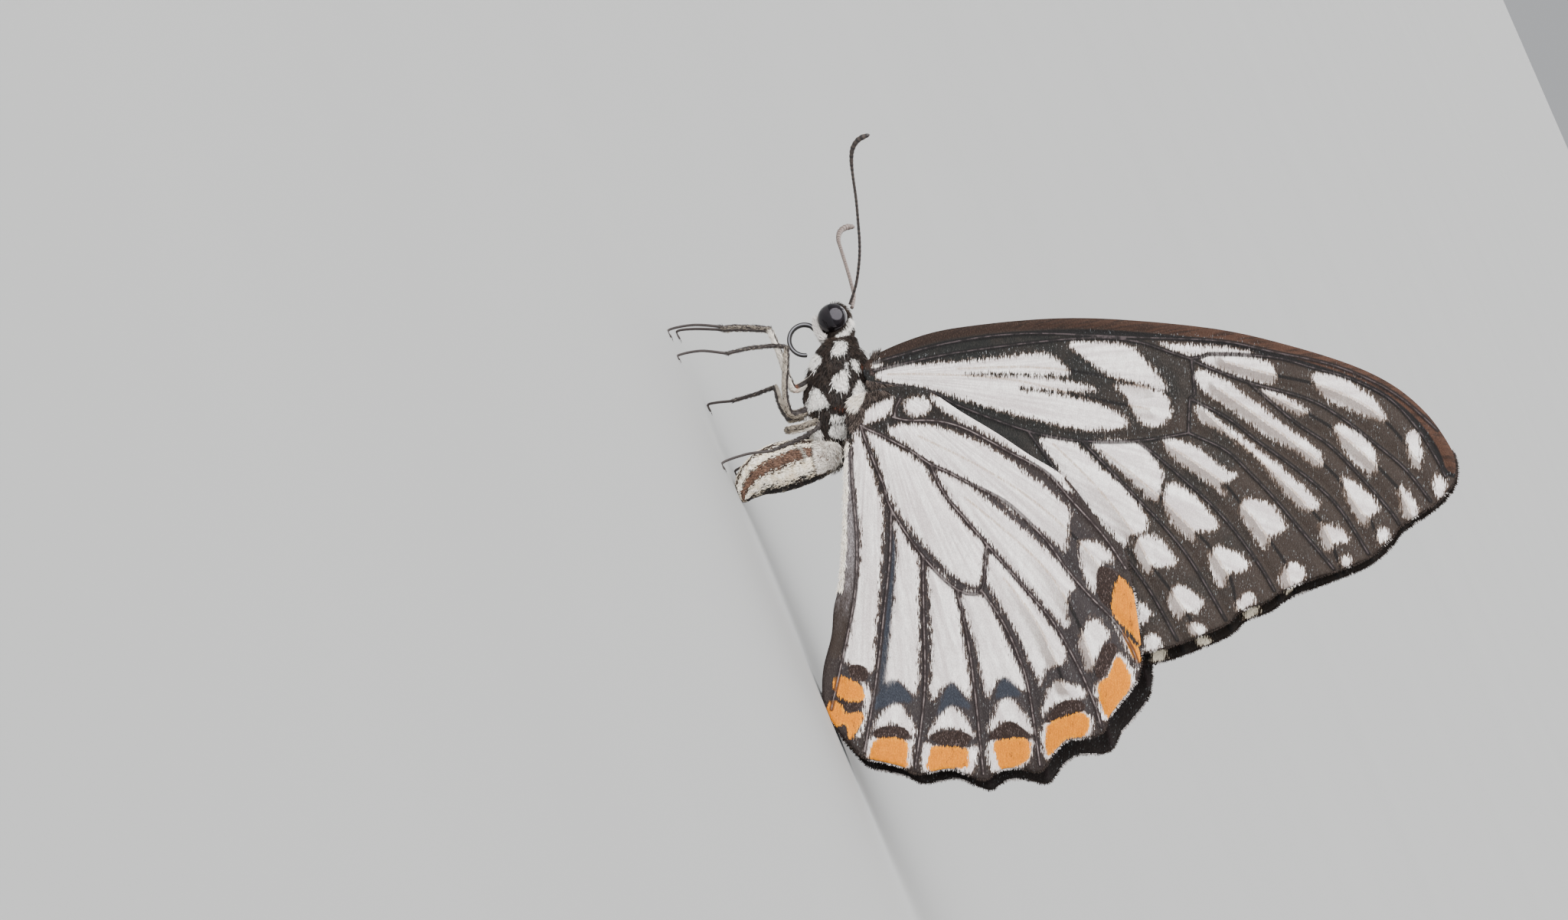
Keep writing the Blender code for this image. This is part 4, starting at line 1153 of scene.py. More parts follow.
def make_stage():
    """The floor, soft lights, the sky and the camera at the side drawing's view."""
    make_floor()
    ahead, right, top = view_ways()
    make_camera(ahead, right, top)
    world = bpy.data.worlds.new("studio")
    world.use_nodes = True
    world.node_tree.nodes["Background"].inputs["Color"].default_value = SKY
    world.node_tree.nodes["Background"].inputs["Strength"].default_value = SKY_STRENGTH
    bpy.context.scene.world = world
    toward = Vector((0, 0, 0))
    for part, share in ((-ahead, KEY_FRONT), (right, KEY_RIGHT), (top, KEY_TOP)):
        toward += part * share
    make_light("key", toward, KEY_STRENGTH, KEY_SIZE)
    make_light("back", Vector(BACK_WAY), BACK_STRENGTH, BACK_SIZE)


# Body: grid place, half depth and half width of the bare skin in mm
HEAD_TO_WAIST = [
    ((1085, 399), 0.15, 0.15), ((1086, 401), 0.6, 0.45), ((1088, 406), 0.98, 0.7),
    ((1091, 414), 1.18, 0.86), ((1095, 424), 1.2, 0.93), ((1098, 433), 1.1, 0.95),
    ((1099, 440), 0.98, 0.88), ((1100, 446), 1.2, 1.1), ((1099, 453), 1.6, 1.5),
    ((1098, 463), 2.0, 1.85), ((1097, 478), 2.45, 2.2), ((1096, 496), 2.7, 2.5),
    ((1094, 516), 2.8, 2.6), ((1092, 536), 2.65, 2.5), ((1090, 554), 2.35, 2.2),
    ((1090, 568), 1.9, 1.8), ((1092, 578), 1.2, 1.2), ((1094, 584), 0.2, 0.2),
]
ABDOMEN = [
    ((1099, 578), 0.3, 0.4), ((1094, 583), 0.95, 1.1), ((1084, 590), 1.3, 1.45),
    ((1068, 598), 1.65, 1.7), ((1045, 604), 1.98, 2.0), ((1022, 609), 2.12, 2.05),
    ((1002, 616), 1.97, 1.95), ((985, 627), 1.58, 1.6), ((974, 641), 1.05, 1.05),
    ((971, 650), 0.6, 0.6), ((970, 655), 0.1, 0.1),
]
BODY_STEP = 0.25 * MM
AXIS_STEP = 0.4 * MM
SKIN_VOXEL = 0.11 * MM
SKIN_OFF_FLOOR = 0.03 * MM
NECK_AT, WAIST_AT = 446, 560
WAIST_GAP, WAIST_BLEND = 0.3 * MM, 0.25 * MM
COAT_DISORDER = 0.18
SHORT_HAIR = 0.3
FINE_STEP = 0.08 * MM
SEGMENTS = 8
SEGMENT_GROOVE = 0.05 * MM

# White tufts on head and thorax
TUFTS = {
    "behind_eye": [
        (1089, 436), (1096, 439), (1104, 437), (1110, 430), (1114, 418), (1112, 412), (1107, 413),
        (1104, 424), (1098, 431)],
    "face": [(1060, 425), (1063, 416), (1069, 412), (1072, 418), (1068, 431), (1063, 431)],
    "cheek": [(1066, 450), (1070, 444), (1076, 440), (1083, 442), (1081, 445), (1070, 450)],
    "neck": [
        (1086, 460), (1090, 451), (1093, 445), (1105, 445), (1106, 455), (1105, 460), (1095, 463)],
    "collar": [(1118, 441), (1122, 441), (1127, 453), (1126, 456), (1122, 455)],
    "front_shoulder": [
        (1056, 473), (1061, 463), (1070, 460), (1075, 465), (1074, 471), (1065, 484), (1061, 479)],
    "wing_root": [(1110, 468), (1120, 468), (1122, 478), (1121, 483), (1115, 481)],
    "wing_root_dot": [(1104, 470), (1107, 470), (1108, 475), (1104, 478)],
    "side": [
        (1086, 494), (1093, 486), (1101, 480), (1108, 481), (1110, 488), (1107, 494), (1108, 503),
        (1105, 509), (1091, 507)],
    "leg_root": [
        (1051, 529), (1056, 521), (1064, 502), (1071, 505), (1084, 526), (1082, 529), (1066, 532),
        (1058, 535)],
    "breast_dot": [(1043, 497), (1045, 490), (1048, 489), (1048, 496), (1045, 500)],
    "breast_bar": [(1046, 504), (1053, 496), (1056, 499), (1052, 505)],
    "breast_low": [(1034, 522), (1038, 515), (1042, 519), (1038, 527)],
    "rear_shoulder": [
        (1113, 514), (1115, 503), (1121, 493), (1128, 501), (1133, 509), (1131, 518), (1120, 534)],
    "rear_side": [
        (1084, 547), (1086, 539), (1092, 537), (1098, 541), (1105, 536), (1114, 536), (1110, 541),
        (1100, 548)],
    "waist": [
        (1081, 561), (1085, 553), (1103, 549), (1110, 552), (1110, 558), (1104, 569), (1088, 568)],
    "rear_leg_root": [(1053, 568), (1061, 561), (1070, 557), (1075, 563), (1073, 571), (1060, 573)],
    "hip": [
        (1027, 553), (1033, 545), (1045, 538), (1055, 538), (1062, 545), (1053, 548), (1036, 553)],
    "hip_front": [(1033, 540), (1038, 531), (1047, 528), (1045, 536), (1037, 543)],
}
KNOB = {"knob": [
    (1064, 577), (1074, 571), (1088, 572), (1097, 581), (1099, 594), (1094, 604), (1082, 614),
    (1070, 618), (1065, 602)]}
# A grey band across the abdomen: painted shadow
ABDOMEN_SHADOW_BAND = {"band": [
    (1044, 583), (1049, 583), (1055, 591), (1055, 603), (1051, 603), (1050, 593)]}
RED_SCLERITES = {
    "wing_hinge": [(1122, 472), (1128, 478), (1136, 484), (1143, 487), (1139, 491), (1127, 484)],
    "seam": [(1090, 525), (1102, 527), (1116, 531), (1116, 534), (1102, 530), (1090, 527)],
    "rear_hinge": [(1109, 539), (1116, 540), (1121, 550), (1124, 561), (1118, 560), (1112, 548)],
}
EYE_AT = (1090, 419)
EYE_SIZE = (1.29 * MM, 1.15 * MM, 1.32 * MM)
EYE_SIDE = 0.95 * MM
EYE_CUT = 0.6 * MM
LEFT_ANTENNA = [
    ((1110, 397), 0.55), ((1118, 372), 1.6), ((1122, 345), 2.9), ((1123, 320), 4.1),
    ((1121, 290), 5.5), ((1118, 258), 7.0), ((1114, 230), 8.4), ((1112, 208), 9.5),
    ((1114, 193), 10.2), ((1122, 182), 10.7), ((1136, 176), 11.0),
]
RIGHT_ANTENNA = [
    ((1113, 401), 0.55), ((1116, 386), 1.8), ((1112, 367), 3.5), ((1106, 345), 5.5),
    ((1100, 325), 7.5), ((1096, 310), 8.9), ((1098, 299), 9.9), ((1106, 293), 10.6),
    ((1118, 292), 11.0),
]
ANTENNA_RINGS = 40
LEFT_ANTENNA_RADIUS, RIGHT_ANTENNA_RADIUS = 0.13, 0.16
CLUB_FROM, CLUB_OVER, CLUB_RADIUS = 0.74, 0.2, 0.11
RING_SWELL = 0.07
PALP = [(1080, 446), (1073, 440), (1069, 430), (1068, 418)]
PALP_SIDE = 0.81 * MM
PALP_RADIUS = 0.22 * MM
TONGUE_AT, TONGUE_LOOP, TONGUE_ROOT = (1051, 443.5), 20.0, (1066, 431)
TONGUE_START, TONGUE_SWEEP = -62, 220
TONGUE_RINGS = 150
LEFT_LEGS = {
    "front": [[((1070, 490), 0.6), ((1064, 494), 0.9), ((1040, 507), 1.5)],
              [((1031, 497), 2.2), ((1018, 461), 3.1), ((1007, 435), 3.7)],
              [((1001, 428), 3.9), ((966, 426), 4.3), ((946, 427), 4.5)],
              [((939, 426), 4.6), ((905, 424), 4.9), ((886, 425), 5.1), ((880, 440), 5.3)]],
    "middle": [[((1070, 530), 0.7), ((1062, 533), 1.0), ((1036, 541), 1.7)],
               [((1028, 529), 2.4), ((1025, 505), 3.2), ((1027, 464), 4.3)],
               [((1022, 452), 4.6), ((983, 454), 5.1), ((955, 460), 5.5)],
               [((948, 461), 5.6), ((915, 458), 6.1), ((897, 459), 6.4), ((891, 469), 6.6)]],
    "hind": [[((1078, 550), 1.2), ((1060, 555), 1.9), ((1034, 561), 2.4)],
             [((1030, 561), 3.5), ((1048, 557), 3.8), ((1066, 551), 4.1)],
             [((1066, 560), 4.6), ((1040, 575), 4.8), ((1012, 587), 5.2)],
             [((1005, 589), 5.4), ((975, 593), 5.9), ((958, 598), 6.3), ((955, 610), 6.6)]],
}
RIGHT_LEGS = {
    "front": [[((1070, 490), 0.6), ((1064, 494), 0.9), ((1040, 507), 1.5)],
              [((1031, 497), 2.2), ((1019, 463), 3.1), ((1009, 438), 3.7)],
              [((1003, 431), 3.9), ((967, 429), 4.3), ((947, 430), 4.5)],
              [((940, 429), 4.6), ((905, 428), 4.9), ((888, 429), 5.1), ((883, 444), 5.3)]],
    "middle": [[((1070, 535), 0.7), ((1062, 538), 1.0), ((1036, 546), 1.7)],
               [((1030, 545), 2.1), ((1020, 529), 3.0), ((1014, 508), 3.9)],
               [((1009, 506), 4.4), ((987, 514), 4.8), ((962, 521), 5.2)],
               [((955, 523), 5.3), ((935, 525), 5.7), ((922, 529), 6.0), ((923, 540), 6.3)]],
    "hind": [[((1080, 567), 1.2), ((1064, 573), 1.9), ((1038, 580), 2.4)],
             [((1032, 580), 3.5), ((1050, 576), 3.8), ((1068, 570), 4.1)],
             [((1066, 569), 5.0), ((1040, 583), 5.1), ((1015, 596), 5.3)],
             [((1008, 599), 5.4), ((980, 606), 5.9), ((966, 612), 6.3), ((964, 624), 6.6)]],
}
LEG_PARTS = ("coxa", "femur", "tibia", "tarsus")
LEG_RADII = {"coxa": (0.46, 0.34), "femur": (0.26, 0.24), "tibia": (0.17, 0.14),
             "tarsus": (0.13, 0.1)}
FOOT_HEIGHT = 0.16 * MM
LEG_PALE = {"front": (0.8, 0.84, 0.5, 0.12), "middle": (0.6, 0.66, 0.3, 0.12),
            "hind": (0.85, 0.6, 0.12, 0.1)}
LEG_STEP = 0.09 * MM
LEG_THINNEST = 0.05 * MM
KNEE_RED = 0.42 * MM
SPUR = {"length": 0.7 * MM, "radius": 0.055 * MM, "spread": 0.4}
CLAW = {"length": 0.34 * MM, "radius": 0.045 * MM, "spread": 0.5}

# A hair's rows: share of its length, share of its rise, share of its width
HAIR_ROWS = ((-0.04, -0.06, 0.8), (0.4, 0.55, 1.0), (0.78, 0.9, 0.75))
HAIR_BACK = 0.45
HAIR_TIP_HIGH = 0.95
HAIR_PATCH = 0.003
HAIR_LAYOUT = np.array([(0, 0), (1, 0), (0.5, 0), (0, 0.4), (1, 0.4), (0.5, 0.4), (0, 0.8),
                        (1, 0.8), (0.5, 0.8), (0.5, 1)])


def tube(name, line, deep, wide, sides=16, across=None):
    """A closed skin round a line of centres: a grid wrapped round it row by row.

    deep and wide are half sizes for each centre. across is the sideways direction, or None to
    carry one along the line without twist. Returns the piece; it has its along and around
    shares stored at its points and its grid's layout as OFBake.
    """
    line = np.asarray(line, float)
    count = len(line)
    ahead = np.gradient(line, axis=0)
    ahead /= np.linalg.norm(ahead, axis=1)[:, None]
    side = np.zeros_like(line)
    first = np.array(across if across is not None else (0.0, 1.0, 0.0))
    for i in range(count):
        start = first if across is not None or i == 0 else side[i - 1]
        start = start - ahead[i] * (start @ ahead[i])
        side[i] = start / np.linalg.norm(start)
    up = np.cross(ahead, side)
    choose()
    bpy.ops.mesh.primitive_grid_add(x_subdivisions=sides, y_subdivisions=count - 1, size=2.0)
    piece = bpy.context.object
    piece.name = piece.data.name = name
    flat = points_of(piece)
    row = np.rint((flat[:, 1] + 1) / 2 * (count - 1)).astype(int)
    share = (flat[:, 0] + 1) / 2
    turn = 2 * pi * share
    open_row = (row > 0) & (row < count - 1)
    deep, wide = np.asarray(deep)[row] * open_row, np.asarray(wide)[row] * open_row
    points = (line[row] + side[row] * (np.cos(turn) * wide)[:, None]
              + up[row] * (np.sin(turn) * deep)[:, None])
    points[:, 2] = np.maximum(points[:, 2], 0.0)
    piece.data.vertices.foreach_set("co", points.ravel())
    keep(piece, along=row / (count - 1), around=share, ahead=ahead[row])
    piece.data.uv_layers[0].name = "OFBake"
    bpy.ops.object.mode_set(mode="EDIT")
    bpy.ops.mesh.select_all(action="SELECT")
    bpy.ops.mesh.remove_doubles(threshold=1e-7)
    bpy.ops.mesh.normals_make_consistent(inside=False)
    bpy.ops.mesh.faces_shade_smooth()
    bpy.ops.object.mode_set(mode="OBJECT")
    return piece


def body_tube(name, table, step):
    """A tube through a table of grid places, half depths and half widths."""
    rows = [(*at(place[0], place[1]), deep * MM, wide * MM) for place, deep, wide in table]
    line = rounded(rows, step, closed=False)
    return tube(name, line[:, :3], np.maximum(line[:, 3], 1e-5), np.maximum(line[:, 4], 1e-5),
                48, across=(0, 1, 0))


def along_axis(table, points):
    """For points round a body axis: share of its length, direction, nearest centre and gap."""
    line = rounded([at(*place) for place, *_ in table], AXIS_STEP, closed=False)
    gap = np.linalg.norm(points[:, None, :] - line[None, :, :], axis=2)
    near = gap.argmin(axis=1)
    ahead = np.gradient(line, axis=0)
    ahead /= np.linalg.norm(ahead, axis=1)[:, None]
    return near / (len(line) - 1), ahead[near], line[near], gap.min(axis=1)


def body_values(points):
    """Values for the body's finish and coat: depth in its marks, and its place on the abdomen."""
    places = drawn(points)
    marks = {"white": TUFTS, "red": RED_SCLERITES, "knob": KNOB, "band": ABDOMEN_SHADOW_BAND}
    values = {name: depth_in(outlines, places) for name, outlines in marks.items()}
    _, front_way, _, front_gap = along_axis(HEAD_TO_WAIST, points)
    values["length"], rear_way, centre, rear_gap = along_axis(ABDOMEN, points)
    rear = 1 / (1 + np.exp(-(front_gap - rear_gap - WAIST_GAP) / WAIST_BLEND))
    values["rear"] = np.where(places[:, 1] < WAIST_AT, 0.0, rear)
    values["ahead"] = np.where(values["rear"][:, None] > 0.5, rear_way, front_way)
    up = np.cross(rear_way, (0.0, 1.0, 0.0))
    off = points - centre
    values["height"] = np.einsum("ij,ij->i", off, up) / (np.linalg.norm(off, axis=1) + 1e-9)
    return values


def bare_skin():
    """One skin from head to tail: two tubes joined, made one and evened out."""
    skin = body_tube("body_skin", HEAD_TO_WAIST, BODY_STEP)
    choose(skin, body_tube("abdomen_skin", ABDOMEN, BODY_STEP))
    bpy.ops.object.join()
    remesh = skin.modifiers.new("one_skin", "REMESH")
    remesh.mode = "VOXEL"
    remesh.voxel_size = SKIN_VOXEL
    remesh.use_smooth_shade = True
    smooth = skin.modifiers.new("even", "SMOOTH")
    smooth.factor = 0.5
    smooth.iterations = 6
    for name in ("one_skin", "even"):
        bpy.ops.object.modifier_apply(modifier=name)
    return skin


def groove_segments(skin):
    """Stores the body's values on its skin and presses in the grooves of the abdomen."""
    points, normals = points_of(skin), normals_of(skin)
    values = body_values(points)
    rings = np.abs(np.sin(values["length"] * pi * SEGMENTS)) ** 0.4
    points -= normals * (values["rear"] * (1 - rings) * SEGMENT_GROOVE)[:, None]
    points[:, 2] = np.maximum(points[:, 2], SKIN_OFF_FLOOR)
    skin.data.vertices.foreach_set("co", points.ravel())
    skin.data.update()
    keep(skin, **values)


def lay_out(skin):
    """Gives a skin the flat layout OFBake, cut where it turns sharply."""
    for layer in list(skin.data.uv_layers):
        skin.data.uv_layers.remove(layer)
    skin.data.uv_layers.new(name="OFBake")
    bpy.ops.object.mode_set(mode="EDIT")
    bpy.ops.mesh.select_all(action="SELECT")
    bpy.ops.uv.smart_project(angle_limit=radians(66), island_margin=0.004)
    bpy.ops.object.mode_set(mode="OBJECT")


def on_head(values, places):
    """The head, above the neck on the grid."""
    return (places[:, 1] < NECK_AT) * 1.0


def on_dark_thorax(values, places):
    """The thorax outside its white tufts."""
    return (places[:, 1] >= NECK_AT) * (values["rear"] < 0.5) * (values["white"] < 0.02) * 1.0


def on_tufts(values, places):
    """The thorax inside its white tufts and just beside them."""
    return (places[:, 1] >= NECK_AT) * (values["rear"] < 0.5) * (values["white"] >= -0.08) * 1.0


def on_abdomen(values, places):
    """The abdomen behind its knob."""
    return (values["rear"] > 0.3) * (values["knob"] < 0.05) * 1.0


def on_knob(values, places):
    """The pale knob at the abdomen's root."""
    return (values["knob"] > -0.05) * 1.0


def everywhere(values, places):
    """The whole skin alike."""
    return np.ones(len(places))


def above_foot(values, places):
    """A whole leg but for its last end."""
    return (values["along"] < 0.97) * 1.0


# Coats of the body: where, count, shortest and longest in mm, width in mm, lift and slot
COATS = {
    "head_hair": (on_head, 6500, (0.3, 0.6), 0.05, 24, "body_scales"),
    "thorax_hair": (on_dark_thorax, 11500, (0.5, 1.3), 0.055, 17, "body_scales"),
    "thorax_tufts": (on_tufts, 11500, (0.3, 0.62), 0.06, 22, "body_scales"),
    "abdomen_scales": (on_abdomen, 12000, (0.22, 0.42), 0.13, 6, "abdomen_scales"),
    "knob_scales": (on_knob, 2600, (0.2, 0.45), 0.08, 17, "abdomen_scales"),
}


def make_body():
    """One skin from head to tail, with its coat of hair on the thorax and scales behind."""
    skin = bare_skin()
    groove_segments(skin)
    lay_out(skin)
    done(skin, body_finish("body_skin", 0.55), "body_scales", "head", "prothorax", "thorax",
         "abdomen_base", "abdomen_middle", "abdomen_tip")
    hair = body_finish("body_hair", 0.5)
    rng = np.random.default_rng(7)
    for name, (where, count, lengths, width, lift, slot) in COATS.items():
        coat(name, skin, where, count, lengths, width, lift, hair, rng, slot)


def random_corners(count, rng):
    """Random shares of a triangle's three corners."""
    s, t = rng.random(count), rng.random(count)
    over = s + t > 1
    s[over], t[over] = 1 - s[over], 1 - t[over]
    return np.stack([1 - s - t, s, t], axis=1)


def coat(name, skin, where, count, lengths, width, lift, finish, rng, slot):
    """Hairs or scales rooted on a skin, lying along its stored direction.

    where gives each place's density, lengths the shortest and longest in mm, width in mm, and
    lift the degrees from the skin.
    """
    mesh = skin.data
    mesh.calc_loop_triangles()
    tris = read(mesh.loop_triangles, "vertices", 3, int)
    corners = read(mesh.loop_triangles, "loops", 3, int)
    points, normals = points_of(skin), normals_of(skin)
    uv = read(mesh.uv_layers["OFBake"].data, "uv", 2)
    names = [layer.name for layer in mesh.attributes
             if layer.data_type == "FLOAT" and layer.domain == "POINT"]
    stored = {key: numbers_of(skin, key) for key in names}
    a, b, c = (points[tris[:, k]] for k in range(3))
    area = np.linalg.norm(np.cross(b - a, c - a), axis=1)
    weight = area * where({key: v[tris].mean(axis=1) for key, v in stored.items()},
                          drawn((a + b + c) / 3))
    pick = rng.choice(len(tris), size=count, p=weight / weight.sum())
    mixing = random_corners(count, rng)

    def blend(values, index=tris):
        return np.einsum("ij,ij...->i...", mixing, values[index[pick]])

    root, normal, way = blend(points), blend(normals), blend(numbers_of(skin, "ahead", 3))
    normal /= np.linalg.norm(normal, axis=1)[:, None]
    way /= np.linalg.norm(way, axis=1)[:, None] + 1e-9
    way = way + rng.normal(0, COAT_DISORDER, way.shape)
    values = {key: blend(v) for key, v in stored.items()}
    values["strand"] = rng.random(count)
    length = rng.uniform(*lengths, count)
    if "white" in values:
        outside = values["white"] < 0
        length[outside] = np.minimum(length, SHORT_HAIR - values["white"])[outside]
    piece = blades(name, root, way, normal, length * MM,
                   np.radians(lift * rng.uniform(0.5, 1.5, count)),
                   width * MM * rng.uniform(0.7, 1.3, count), blend(uv, corners), values)
    return done(piece, finish, slot)


def blades(name, root, way, normal, length, tilt, thin, spot, values):
    """One piece of many pointed three-sided hairs, each a small closed solid.

    Each hair starts at its root, goes its way along the skin and lifts from it by its tilt.
    spot is each root's place on the skin's flat layout; values are stored for the finish.
    """
    count = len(root)
    way = way - normal * np.einsum("ij,ij->i", way, normal)[:, None]
    way /= np.linalg.norm(way, axis=1)[:, None] + 1e-9
    side = np.cross(normal, way)
    rise, run = np.sin(tilt) * length, np.cos(tilt) * length
    vertices = []
    for forward, high, broad in HAIR_ROWS:
        centre = root + way * (run * forward)[:, None] + normal * (rise * high)[:, None]
        half = side * (thin * broad / 2)[:, None]
        vertices += [centre - half, centre + half,
                     centre + normal * (thin * broad * HAIR_BACK)[:, None]]
    vertices.append(root + way * run[:, None] + normal * (rise * HAIR_TIP_HIGH)[:, None])
    block = np.stack(vertices, axis=1)
    block[:, :, 2] = np.maximum(block[:, :, 2], 0.0)
    pattern = []
    for k in (0, 3):
        for i, j in ((0, 1), (1, 2), (2, 0)):
            pattern.append((k + i, k + j, k + 3 + j, k + 3 + i))
    pattern += [(6, 7, 9), (7, 8, 9), (8, 6, 9), (2, 1, 0)]
    starts = np.arange(count) * 10
    faces = [tuple(int(q) for q in base + np.array(face)) for base in starts for face in pattern]
    piece = mesh_of(name, block.reshape(-1, 3), faces)
    keep(piece, **{key: np.repeat(v, 10) for key, v in values.items()})
    layout = (spot[:, None, :] + HAIR_LAYOUT[None] * HAIR_PATCH).reshape(-1, 2)
    unwrap(piece, layout[corner_points(piece)])
    return piece


def body_patterns(f):
    """The patterns and stored values that the body's finish is mixed from."""
    p = SimpleNamespace()
    p.fine = f.noise(f.place(), 9000.0, 2.0)
    p.soft = f.noise(f.place(), 1500.0, 3.0)
    p.broad = f.noise(f.place(), 420.0, 3.0)
    for key in ("strand", "height", "length", "rear", "white", "red", "band", "knob"):
        setattr(p, key, f.value(key))
    return p


def thorax_colours(f, p):
    """Black-brown hair with white tufts and reddish plates."""
    dark = f.mix(p.strand, *DARK_HAIR)
    dark = f.mix(f.step(p.broad, 0.5, 0.75, 0.0, 0.7), dark, BROWN_HAIR)
    light = f.mix(f.sum((p.strand, 0.5), (p.soft, 0.5)), *WHITE_HAIR)
    tuft = f.sum((p.white, 1.0), (p.strand, 0.16), (p.soft, 0.3), -0.27)
    red = f.sum((p.red, 1.0), (p.soft, 0.3), -0.17)
    front = f.mix(f.step(tuft, -0.06, 0.06), dark, light)
    return f.mix(f.step(red, -0.05, 0.06), front, PLATE_RED)


def abdomen_stripes(f, p):
    """Cream with dark lengthwise stripes, brown rings and one grey band of painted shadow."""
    brown = f.mix(f.sum((p.strand, 0.6), (p.fine, 0.4)), *STRIPE_BROWN)
    level = f.sum((p.height, 1.0), (p.soft, 0.5), (p.fine, 0.2), (p.strand, 0.22), -0.46)
    lifted = f.sum((level, 1.0), (f.step(p.length, 0.3, 0.6, 0.26, 0.0), 1.0))
    stripes = f.mix(f.step(p.soft, 0.3, 0.65), *ABDOMEN_CREAM)
    for way, low, high, blur, shade in (
            (level, -0.82, -0.58, 0.04, SEPIA), (lifted, -0.1, 0.44, 0.05, brown),
            (lifted, -0.12, -0.03, 0.03, SEPIA), (lifted, 0.4, 0.47, 0.03, SEPIA),
            (level, 0.86, 1.6, 0.05, BACK_BLACK)):
        above = f.step(way, low - blur, low + blur)
        below = f.step(way, high - blur, high + blur, 1.0, 0.0)
        stripes = f.mix(f.both(above, below), stripes, shade)
    ring = f.math("ABSOLUTE", f.math("SINE", f.sum((p.length, pi * SEGMENTS))))
    stripes = f.mix(f.step(ring, 0.16, 0.02, 0.0, 0.55), stripes, brown)
    # The grey band: painted shadow
    return f.mix(f.step(p.band, -0.03, 0.06, 0.0, 0.85), stripes, PAINTED_SHADOW_GREY)


def with_knob(f, p, knob, stripes):
    """The abdomen's colours with the mottled knob and its dark rim."""
    spots = f.step(f.sum((p.soft, 1.0), (p.fine, 0.5), (p.strand, 0.15)), 0.85, 0.98, 0.0, 0.85)
    mottled = f.mix(spots, f.mix(p.strand, *KNOB_PALE), KNOB_SPOT)
    stripes = f.mix(f.step(knob, -0.04, 0.06), stripes, mottled)
    rim = f.math("ABSOLUTE", f.sum((knob, 1.0), 0.02))
    return f.mix(f.step(rim, 0.09, 0.03, 0.0, 0.7), stripes, SEPIA)


def body_finish(name, roughness):
    """Black-brown hair with white tufts, and a cream abdomen with dark lengthwise stripes."""
    f = Finish(name, roughness=roughness, Sheen_Weight=0.06, Sheen_Roughness=0.5,
               Specular_IOR_Level=0.2)
    p = body_patterns(f)
    knob = f.sum((p.knob, 1.0), (p.soft, 0.3), -0.15)
    rear = with_knob(f, p, knob, abdomen_stripes(f, p))
    behind = f.math("MAXIMUM", f.step(p.rear, 0.35, 0.65), f.step(knob, -0.04, 0.04))
    f.colour(f.mix(behind, thorax_colours(f, p), rear))
    f.relief(p.fine, BODY_RELIEF)
    return f.material


def eye_finish():
    """Glossy black with fine facets."""
    f = Finish("eye", roughness=0.07, Specular_IOR_Level=0.4, Specular_Tint=(0.95, 0.9, 1.0, 1.0))
    f.colour(f.mix(f.step(f.noise(f.place(), 900.0, 2.0), 0.4, 0.7), *EYE_BLACK))
    f.relief(f.cells(f.place(), 24000.0), EYE_RELIEF)
    return f.material


def make_eyes():
    """Two domed eyes, each cut flat on the side of the head."""
    finish = eye_finish()
    for name, side in SIDES:
        choose()
        bpy.ops.mesh.primitive_uv_sphere_add(segments=64, ring_count=32, radius=1.0,
                                             rotation=(pi / 2, 0, 0))
        piece = bpy.context.object
        piece.name = f"eye_{name}_dome"
        bpy.ops.object.transform_apply(location=True, rotation=True, scale=True)
        x, _, z = at(*EYE_AT)
        points = points_of(piece) * EYE_SIZE + (x, side * EYE_SIDE, z)
        piece.data.vertices.foreach_set("co", points.ravel())
        bpy.ops.object.mode_set(mode="EDIT")
        bpy.ops.mesh.select_all(action="SELECT")
        bpy.ops.mesh.bisect(plane_co=(0, side * EYE_CUT, 0), plane_no=(0, side, 0),
                            clear_inner=True, use_fill=True)
        bpy.ops.mesh.select_all(action="SELECT")
        bpy.ops.mesh.normals_make_consistent(inside=False)
        bpy.ops.mesh.faces_shade_smooth()
        bpy.ops.object.mode_set(mode="OBJECT")
        piece.data.uv_layers[0].name = "OFBake"
        done(piece, finish, "eye", f"eye_{name}")


def antenna_finish():
    """Fine rings, dark above and paler below; the right feeler is paler, which is painted light."""
    f = Finish("antenna", roughness=0.5)
    right = f.value("right")
    ring = f.math("SINE", f.sum((f.value("along"), 2 * pi * ANTENNA_RINGS)))
    under = f.step(f.noise(f.place(), 1200.0, 2.0), 0.45, 0.7)
    pale, dark = f.mix(right, *ANTENNA_PALE), f.mix(right, *ANTENNA_DARK)
    f.colour(f.mix(f.step(ring, -0.4, 0.6), f.mix(under, pale, dark), f.mix(under, dark, pale)))
    f.relief(f.noise(f.place(), 9000.0, 2.0), ANTENNA_RELIEF)
    return f.material


def make_antennae():
    """Ringed feelers that thicken to a hooked club."""
    finish = antenna_finish()
    for name, table, side, thin in (("left", LEFT_ANTENNA, -1, LEFT_ANTENNA_RADIUS),
                                    ("right", RIGHT_ANTENNA, 1, RIGHT_ANTENNA_RADIUS)):
        rows = [at(*place, side * off * MM) for place, off in table]
        line = rounded(rows, FINE_STEP, closed=False)
        share = np.linspace(0, 1, len(line))
        club = np.clip((share - CLUB_FROM) / CLUB_OVER, 0, 1)
        radius = (thin + CLUB_RADIUS * club ** 0.8) * MM
        radius *= 1 + RING_SWELL * np.sin(share * 2 * pi * ANTENNA_RINGS)
        radius *= np.sqrt(np.clip((1.0 - share) / 0.035, 0.0, 1.0)) * 0.999 + 0.001
        radius[0] *= 0.01
        piece = tube(f"antenna_{name}_shaft", line, radius, radius, 14)
        # The right feeler is marked for its paler colours, which are painted light
        keep(piece, right=np.full(len(piece.data.vertices), 1.0 if side > 0 else 0.0))
        done(piece, finish, "antenna", f"antenna_{name}")


def round_ends(share, over):
    """Factors that round a tube's radius off to both ends, over a share of its length."""
    return np.sqrt(np.clip(np.minimum(share, 1 - share) / over, 0.0001, 1))


